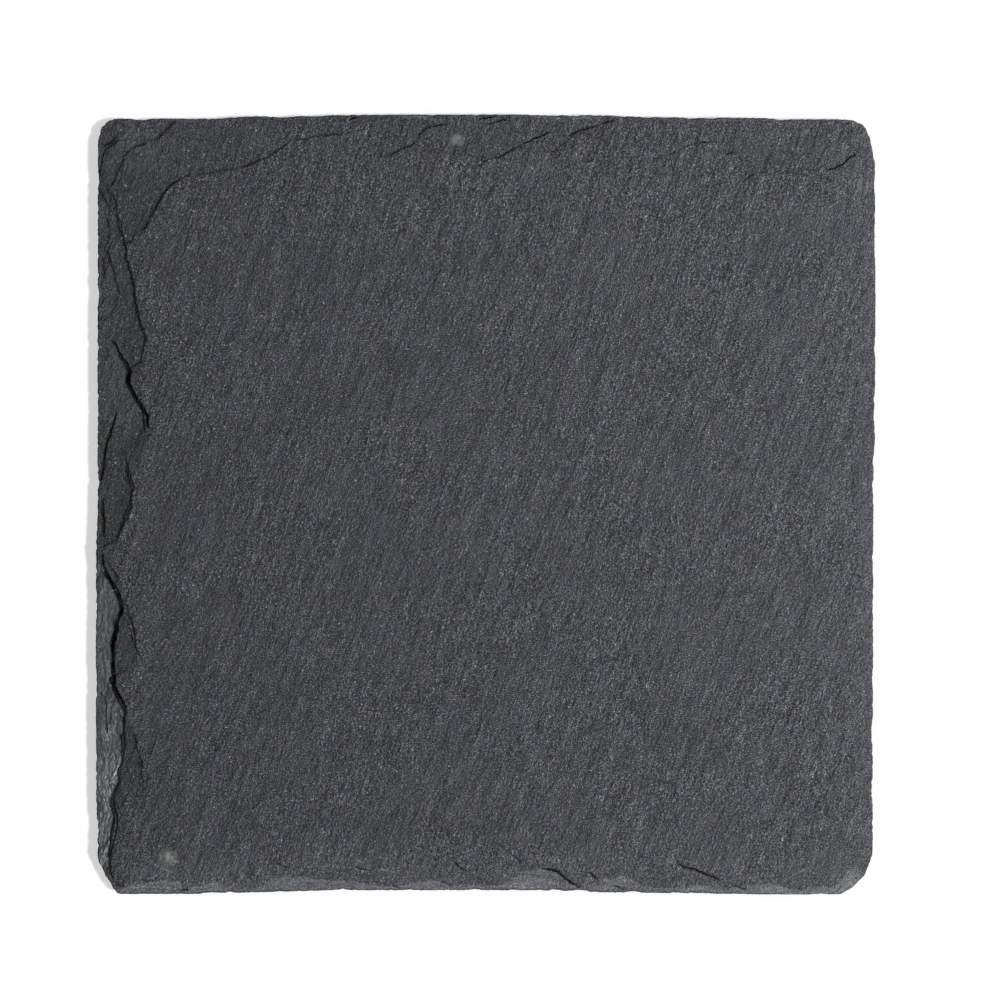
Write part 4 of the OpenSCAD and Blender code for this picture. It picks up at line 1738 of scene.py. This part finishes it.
    def _surface(self, board: NodeBoard, effects: SharedEffects, place: NodeSocket) -> dict[str, Any]:
        """Wires the slate.

        Args:
            board: The material's board.
            effects: The shared node groups.
            place: Object coordinates.

        Returns:
            The shader's inputs by name, with the clean colour.
        """
        masks = {
            name: board.add("ShaderNodeAttribute", attribute_name=name).outputs["Fac"]
            for name, _ in self.mask_weights
        }
        in_mm = board.vectors("MULTIPLY", place, (1.0 / MM,) * 3)
        texture, bands, height = self._texture(board, effects, place, in_mm, masks)
        color = self._color(board, in_mm, texture, bands, masks)
        specks: Any = 0.0
        for cells, empty in self.specks:
            specks = board.maths("MAXIMUM", self._specks(board, in_mm, cells, empty), specks)
        color = board.blend(specks, color, self.speck_tone)
        color = board.blend(self._blooms(board, place), color, self.bloom_tone)
        bump = board.add("ShaderNodeBump", {"Height": height, "Strength": 1.0, "Distance": MM})
        return {
            "Base Color": color, "Roughness": board.spread(specks, (0.0, 1.0), self.roughness),
            "Normal": bump.outputs[0], "Specular IOR Level": self.gloss,
        }


@dataclass(frozen=True)
class MicaFinish(Finish):
    """Small silvery flakes of mica.

    Attributes:
        tone: Colour of a flake.
        dullest: Share of that colour that the dullest flakes have.
        cells: Cells in a metre of the noise that picks the dull ones.
        roughness: Roughness of a flake.
    """

    name: str = "mica_glint"
    coat: DustCoat = DustCoat(0.2, 2.0 * MM, (0.12, 0.12, 0.12, 1.0))
    tone: Tone = (0.27, 0.28, 0.3, 1.0)
    dullest: float = 0.35
    cells: float = 0.45 / MM
    roughness: float = 0.4

    def _surface(self, board: NodeBoard, effects: SharedEffects, place: NodeSocket) -> dict[str, Any]:
        """Wires the mica.

        Args:
            board: The material's board.
            effects: The shared node groups; not used.
            place: Object coordinates.

        Returns:
            The shader's inputs by name, with the clean colour.
        """
        noise = board.add("ShaderNodeTexNoise", {"Vector": place, "Scale": self.cells, "Detail": 2.0})
        share = board.spread(noise.outputs[0], (0.3, 0.7), (0.25, 1.0))
        dull = tuple(self.dullest * part for part in self.tone[:3]) + (1.0,)
        return {"Base Color": board.blend(share, dull, self.tone), "Roughness": self.roughness}


@dataclass(frozen=True)
class FoamFinish(Finish):
    """Closed-cell black foam with a fine cell texture.

    Attributes:
        tone: Colour of the foam's skin.
        hollow_shade_share: Share of that colour in the hollow of a cell, as painted shade.
        cell: Size of one cell.
        relief: Depth of the cells.
        roughness: Roughness of the skin.
    """

    name: str = "closed_cell_foam"
    coat: DustCoat = DustCoat(0.12, 1.6 * MM, (0.2, 0.2, 0.19, 1.0))
    tone: Tone = (0.022, 0.022, 0.024, 1.0)
    hollow_shade_share: float = 0.55
    cell: float = 0.28 * MM
    relief: float = 0.05 * MM
    roughness: float = 0.86

    def _surface(self, board: NodeBoard, effects: SharedEffects, place: NodeSocket) -> dict[str, Any]:
        """Wires the foam.

        Args:
            board: The material's board.
            effects: The shared node groups; not used.
            place: Object coordinates.

        Returns:
            The shader's inputs by name, with the clean colour.
        """
        cells = board.add("ShaderNodeTexVoronoi", {"Vector": place, "Scale": 1.0 / self.cell},
                          feature="SMOOTH_F1")
        rise = board.spread(cells.outputs["Distance"], (0.1, 0.7), (0.0, 1.0), smooth=True)
        # Painted shade in the hollows of the cells
        painted_hollow_shade = tuple(self.hollow_shade_share * part for part in self.tone[:3]) + (1.0,)
        bump = board.add("ShaderNodeBump", {"Height": rise, "Strength": 0.9, "Distance": self.relief})
        return {
            "Base Color": board.blend(rise, painted_hollow_shade, self.tone), "Roughness": self.roughness,
            "Normal": bump.outputs[0],
        }


@dataclass(frozen=True)
class FilmFinish(Finish):
    """Milky double-sided adhesive film.

    Attributes:
        tone: Colour of the film.
        fibres: The fibres in it, which stand up a little.
        relief: Height of the fibres.
        roughness: Roughness of the film.
    """

    name: str = "adhesive_film"
    coat: DustCoat = DustCoat(0.35, 1.2 * MM, (0.34, 0.32, 0.28, 1.0))
    tone: Tone = (0.7, 0.69, 0.64, 1.0)
    fibres: Strokes = Strokes(1.5 * MM, 0.2 * MM, math.degrees(0.4), 0.4, roughness=0.5)
    relief: float = 0.01 * MM
    roughness: float = 0.38

    def _surface(self, board: NodeBoard, effects: SharedEffects, place: NodeSocket) -> dict[str, Any]:
        """Wires the film.

        Args:
            board: The material's board.
            effects: The shared node groups.
            place: Object coordinates.

        Returns:
            The shader's inputs by name, with the clean colour.
        """
        fibres = effects.drawn(board, place, self.fibres)
        bump = board.add("ShaderNodeBump", {"Height": fibres, "Strength": self.fibres.contrast,
                                            "Distance": self.relief})
        return {"Base Color": self.tone, "Roughness": self.roughness, "Normal": bump.outputs[0]}


class BuildTree:
    """A geometry tree with named inputs, which ends in plain meshes that carry a finish."""

    def __init__(self, name: str, takes: dict[str, str]) -> None:
        """Starts the tree.

        Args:
            name: The tree's name.
            takes: Socket types of its inputs, by name.
        """
        self.board, self.given = new_group(name, "GeometryNodeTree", takes, {"Geometry": GEOMETRY})
        self.tree = self.board.tree
        self.identifiers = {
            item.name: item.identifier for item in self.tree.interface.items_tree if item.in_out == "INPUT"
        }

    def end(self, geometry: NodeSocket, chosen: Any = True) -> None:
        """Ends the tree.

        Args:
            geometry: What has been built.
            chosen: Which of its faces take the finish.
        """
        realized = self.board.add("GeometryNodeRealizeInstances", {0: geometry})
        dressed = self.board.add("GeometryNodeSetMaterial", {
            "Geometry": realized.outputs[0], "Selection": chosen, "Material": self.given["Finish"],
        })
        self.board.add("NodeGroupOutput", {0: dressed.outputs[0]})

    def run(self, start: Mesh, values: dict[str, Any]) -> Mesh:
        """Runs the tree once.

        Args:
            start: Mesh that the tree is given, which is used up.
            values: The tree's inputs, by name.

        Returns:
            The result as a plain mesh, under the same name.
        """
        inputs = {self.identifiers[name]: value for name, value in values.items()}
        return modified(start, "NODES", {"node_group": self.tree}, inputs)


class DieCutTree(BuildTree):
    """Makes a round piece cut from sheet with a die.

    A grid's two directions become the turn round the piece and the way along its section:
    out along the underside, round the lower rim, up the pinched side, round the upper rim
    and back along the top.
    """

    SIZES = ("Radius", "Height", "Rim Radius", "Pinch", "Wobble", "Wobble Size")
    TURNS = 97
    STATIONS = 41

    def __init__(self) -> None:
        """Builds the tree."""
        takes = dict.fromkeys(self.SIZES, FLOAT)
        super().__init__("die_cut_disc", takes | {"Centre": VECTOR, "Seed": FLOAT, "Finish": MATERIAL})
        self._wire()

    def _section(self, share: NodeSocket) -> tuple[NodeSocket, NodeSocket]:
        """Works out radius and height along the piece's section.

        Args:
            share: Way along the section, from 0 to 1.

        Returns:
            The radius and the height there.
        """
        board, given = self.board, self.given
        radius, height, rim = given["Radius"], given["Height"], given["Rim Radius"]
        flat = board.maths("SUBTRACT", radius, rim)
        quarter = math.pi / 2.0
        out = board.spread(share, (0.0, 0.3), (0.0, 1.0))
        low_turn = board.spread(share, (0.3, 0.42), (0.0, quarter))
        rise = board.spread(share, (0.42, 0.58), (0.0, 1.0))
        high_turn = board.spread(share, (0.58, 0.7), (0.0, quarter))
        back = board.spread(share, (0.7, 1.0), (0.0, 1.0))
        reach = board.maths("MULTIPLY", flat, board.maths("SUBTRACT", out, back))
        bulge = board.maths("ADD", board.maths("SINE", low_turn), board.maths("COSINE", high_turn))
        reach = board.maths("MULTIPLY_ADD", rim, board.maths("SUBTRACT", bulge, 1.0), reach)
        pinched = board.maths("SINE", board.maths("MULTIPLY", rise, math.pi))
        pinch = board.maths("MULTIPLY", given["Pinch"], pinched)
        reach = board.maths("SUBTRACT", reach, pinch)
        side = board.maths("MULTIPLY_ADD", rim, -2.0, height)
        lift = board.maths("SUBTRACT", board.maths("SINE", high_turn), board.maths("COSINE", low_turn))
        lift = board.maths("MULTIPLY", rim, board.maths("ADD", lift, 1.0))
        lift = board.maths("MULTIPLY_ADD", side, rise, lift)
        return reach, lift

    def _wire(self) -> None:
        """Wires the tree."""
        board, given = self.board, self.given
        grid = board.add("GeometryNodeMeshGrid", {
            "Size X": 1.0, "Size Y": 1.0, "Vertices X": self.TURNS, "Vertices Y": self.STATIONS,
        })
        spot = board.add("ShaderNodeSeparateXYZ", {0: board.add("GeometryNodeInputPosition").outputs[0]})
        turn = board.maths("MULTIPLY", board.maths("ADD", spot.outputs[0], 0.5), math.tau)
        share = board.maths("ADD", spot.outputs[1], 0.5)
        reach, lift = self._section(share)
        east, north = board.maths("COSINE", turn), board.maths("SINE", turn)
        around = board.add("ShaderNodeCombineXYZ", {
            0: board.maths("MULTIPLY", reach, east), 1: board.maths("MULTIPLY", reach, north), 2: lift,
        })
        scaled = board.vectors("DIVIDE", around.outputs[0], given["Wobble Size"])
        noise = board.add("ShaderNodeTexNoise", {"Vector": scaled, "W": given["Seed"], "Scale": 1.0,
                                                 "Detail": 3.0}, noise_dimensions="4D")
        keep = board.maths("MULTIPLY", noise.outputs[0], given["Wobble"])
        keep = board.maths("SUBTRACT", 1.0, board.maths("DIVIDE", keep, given["Radius"]))
        shrunk = board.add("ShaderNodeCombineXYZ", {0: keep, 1: keep, 2: 1.0})
        shaped = board.vectors("MULTIPLY", around.outputs[0], shrunk.outputs[0])
        placed = board.vectors("ADD", shaped, given["Centre"])
        moved = board.add("GeometryNodeSetPosition", {"Geometry": grid.outputs["Mesh"], "Position": placed})
        merged = board.add("GeometryNodeMergeByDistance", {"Geometry": moved.outputs[0],
                                                           "Distance": DISC_WELD})
        self.end(merged.outputs[0])


@dataclass
class PadFoot:
    """One corner's foot: a foam pad and the adhesive film over it.

    Attributes:
        corner: Which corner it stands under.
        number: Number that picks its own unevenness.
        rim: Radius of the pad's soft rims.
        pinch: How far the die pinched the pad's side.
        wobble: Unevenness of the cut.
        wobble_size: Length of one wave of it.
        film_wobble: Unevenness of the film's cut.
        film_rim: Radius of the film's rims as a share of its thickness.
        sharp_angle: Angle in degrees past which an edge is shaded sharp.
    """

    corner: Corner
    number: int
    rim: float = 0.38 * MM
    pinch: float = 0.12 * MM
    wobble: float = 0.16 * MM
    wobble_size: float = 2.2 * MM
    film_wobble: float = 0.1 * MM
    film_rim: float = 0.3
    sharp_angle: float = 50.0

    def _disc(self, node: str, tree: DieCutTree, sizes: dict[str, float],
              finish: Material) -> Object:
        """Builds one disc in the place of its CAD node.

        Args:
            node: CAD node that the disc stands for.
            tree: The die-cut tree.
            sizes: Rim radius, pinch and wobble, by the tree's names.
            finish: Its material.

        Returns:
            The disc's object.
        """
        low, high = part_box(node)
        centre = (low + high) / 2.0
        mesh = tree.run(bpy.data.meshes.new(f"{node}_dressed"), sizes | {
            "Radius": (high.x - low.x) / 2.0, "Height": high.z - low.z,
            "Wobble Size": self.wobble_size, "Centre": (centre.x, centre.y, low.z),
            "Seed": float(self.number), "Finish": finish,
        })
        welded(mesh, DISC_WELD).shade_smooth()
        mesh.set_sharp_from_angle(angle=math.radians(self.sharp_angle))
        return put_in_frame(mesh, node)

    def build(self, tree: DieCutTree, foam: Material, film: Material) -> None:
        """Builds the pad and its film.

        Args:
            tree: The die-cut tree.
            foam: The pad's material.
            film: The film's material.
        """
        pad_node, film_node = f"foot_pad_{self.corner.value}", f"adhesive_disc_{self.corner.value}"
        sizes = {"Rim Radius": self.rim, "Pinch": self.pinch, "Wobble": self.wobble}
        pad = self._disc(pad_node, tree, sizes, foam)
        low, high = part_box(film_node)
        sizes = {"Rim Radius": self.film_rim * (high.z - low.z), "Pinch": 0.0, "Wobble": self.film_wobble}
        sheet = self._disc(film_node, tree, sizes, film)
        LOG.info("foot: %s, %d and %d faces", self.corner.value,
                 len(pad.data.polygons), len(sheet.data.polygons))


class MicaTree(BuildTree):
    """Sprinkles flat mica flakes on what faces up and joins them to the stone."""

    SIZES = ("Density", "Smallest", "Largest", "Thickness Share", "Tilt")
    SIDES = 5
    LEAST_UP = 0.97

    def __init__(self) -> None:
        """Builds and wires the tree."""
        takes = {"Stone": GEOMETRY} | dict.fromkeys(self.SIZES, FLOAT)
        super().__init__("mica_sprinkle", takes | {"Seed": "NodeSocketInt", "Finish": MATERIAL})
        board, given = self.board, self.given
        normal = board.add("ShaderNodeSeparateXYZ", {0: board.add("GeometryNodeInputNormal").outputs[0]})
        level = board.maths("GREATER_THAN", normal.outputs[2], self.LEAST_UP)
        points = board.add("GeometryNodeDistributePointsOnFaces", {
            "Mesh": given["Stone"], "Selection": level,
            "Density": given["Density"], "Seed": given["Seed"],
        })
        flake = board.add("GeometryNodeMeshCone", {
            "Vertices": self.SIDES, "Radius Top": 0.0, "Radius Bottom": 1.0,
            "Depth": given["Thickness Share"],
        })
        marked = board.add("GeometryNodeStoreNamedAttribute", {
            "Geometry": flake.outputs["Mesh"], "Name": "mica", "Value": True,
        }, data_type="BOOLEAN", domain="FACE")
        tilt = given["Tilt"]
        least = board.add("ShaderNodeCombineXYZ", {0: board.maths("MULTIPLY", tilt, -1.0),
                                                   1: board.maths("MULTIPLY", tilt, -1.0), 2: 0.0})
        most = board.add("ShaderNodeCombineXYZ", {0: tilt, 1: tilt, 2: math.tau})
        turns = board.add("FunctionNodeRandomValue", {"Min": least.outputs[0], "Max": most.outputs[0],
                          "Seed": given["Seed"]}, data_type="FLOAT_VECTOR")
        sizes = board.add("FunctionNodeRandomValue", {2: given["Smallest"],
                          3: given["Largest"], "Seed": given["Seed"]}, data_type="FLOAT")
        placed = board.add("GeometryNodeInstanceOnPoints", {
            "Points": points.outputs["Points"], "Instance": marked.outputs[0],
            "Rotation": turns.outputs[0], "Scale": sizes.outputs[1],
        })
        joined = board.add("GeometryNodeJoinGeometry")
        self.tree.links.new(given["Stone"], joined.inputs[0])
        self.tree.links.new(placed.outputs[0], joined.inputs[0])
        chosen = board.add("GeometryNodeInputNamedAttribute", {"Name": "mica"}, data_type="BOOLEAN")
        self.end(joined.outputs[0], chosen.outputs[0])


@dataclass
class Studio:
    """Floor, light and camera, as in the photograph.

    Attributes:
        lens: Focal length in millimetres, on a sensor of Blender's own width.
        frame_width: Width that the photograph covers at the slab's top face.
        centre: Where the camera looks, from the slab's middle.
        key_rise: Height of the key light above the horizon, in degrees.
        key_turn: Where the key light stands, anticlockwise from +X, in degrees.
        key_strength: Strength of the key light.
        fill: Strength of the light from all round.
        floor_tone: How much light the floor sends back.
        floor_glow: What the camera sees on top of that, so that the lit floor is white.
        floor_reach: Half the floor's side.
        floor_gap: How far the floor lies under the pads.
        key_spread: Width of the key light as the object sees it, in degrees.
        nearest: Least distance at which the camera sees anything.
    """

    lens: float = 300.0
    frame_width: float = 127.8 * MM
    centre: tuple[float, float] = (1.84 * MM, 0.56 * MM)
    key_rise: float = 74.0
    key_turn: float = -14.0
    key_strength: float = 2.2
    fill: float = 0.36
    floor_tone: float = 0.55
    floor_glow: float = 0.5
    floor_reach: float = 3.0
    floor_gap: float = 0.01 * MM
    key_spread: float = 3.0
    nearest: float = 0.01

    def _floor_material(self) -> Material:
        """Builds a pale floor that is white to the camera and keeps its shadows.

        Returns:
            The floor's material.
        """
        made, board = new_material("studio_floor")
        path = board.add("ShaderNodeLightPath")
        seen = board.maths("MAXIMUM", path.outputs["Is Camera Ray"], path.outputs["Is Glossy Ray"])
        seen = board.maths("MAXIMUM", seen, path.outputs["Is Transmission Ray"])
        tone = (self.floor_tone,) * 3 + (1.0,)
        matt = board.add("ShaderNodeBsdfDiffuse", {"Color": tone})
        glow = board.add("ShaderNodeEmission", {
            "Strength": board.maths("MULTIPLY", seen, self.floor_glow),
        })
        both = board.add("ShaderNodeAddShader", {0: matt.outputs[0], 1: glow.outputs[0]})
        board.add("ShaderNodeOutputMaterial", {"Surface": both.outputs[0]})
        return made

    def build_floor(self) -> None:
        """Lays the floor just under the pads."""
        half = self.floor_reach
        mesh = bpy.data.meshes.new("studio_floor")
        corners = [(-half, -half), (half, -half), (half, half), (-half, half)]
        mesh.from_pydata([(x, y, -self.floor_gap) for x, y in corners], [], [(0, 1, 2, 3)])
        mesh.materials.append(self._floor_material())
        floor = bpy.data.objects.new("studio_floor", mesh)
        bpy.context.scene.collection.objects.link(floor)

    def build_lights(self) -> None:
        """Hangs the key light and sets the light from all round."""
        data = bpy.data.lights.new("key_light", "SUN")
        data.energy = self.key_strength
        data.angle = math.radians(self.key_spread)
        key = bpy.data.objects.new("key_light", data)
        rise, turn = math.radians(self.key_rise), math.radians(self.key_turn)
        towards = Vector((math.cos(rise) * math.cos(turn), math.cos(rise) * math.sin(turn), math.sin(rise)))
        key.rotation_euler = towards.to_track_quat("Z", "Y").to_euler()
        bpy.context.scene.collection.objects.link(key)
        world = bpy.data.worlds.new("studio_world")
        world.use_nodes = True
        world.node_tree.nodes.clear()
        board = NodeBoard(world.node_tree)
        path = board.add("ShaderNodeLightPath")
        seen = board.maths("MAXIMUM", path.outputs["Is Camera Ray"], path.outputs["Is Transmission Ray"])
        strength = board.spread(seen, (0.0, 1.0), (self.fill, 1.0))
        sky = board.add("ShaderNodeBackground", {"Color": (1.0, 1.0, 1.0, 1.0), "Strength": strength})
        board.add("ShaderNodeOutputWorld", {"Surface": sky.outputs[0]})
        bpy.context.scene.world = world

    def build_camera(self, top: float) -> None:
        """Sets the camera straight above the coaster.

        Args:
            top: Height of the slab's top face.
        """
        data = bpy.data.cameras.new("camera")
        data.lens = self.lens
        data.clip_start = self.nearest
        distance = self.frame_width * self.lens / data.sensor_width
        camera = bpy.data.objects.new("camera", data)
        camera.location = (*self.centre, top + distance)
        bpy.context.scene.collection.objects.link(camera)
        bpy.context.scene.camera = camera


def main() -> None:
    """Builds the coaster's dressed pieces and its studio."""
    logging.basicConfig(level=logging.INFO, format="%(name)s: %(message)s")
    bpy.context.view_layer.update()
    effects = SharedEffects()
    slab = SlateSlab()
    slab.build(SlateFinish().material(effects), MicaFinish().material(effects))
    foam = FoamFinish().material(effects)
    film = FilmFinish().material(effects)
    die_cut = DieCutTree()
    for number, corner in enumerate(Corner):
        PadFoot(corner, number).build(die_cut, foam, film)
    studio = Studio()
    studio.build_floor()
    studio.build_lights()
    studio.build_camera(slab.probe.high.z)
    bpy.context.scene.view_settings.view_transform = "Standard"


if __name__ == "__main__":
    main()
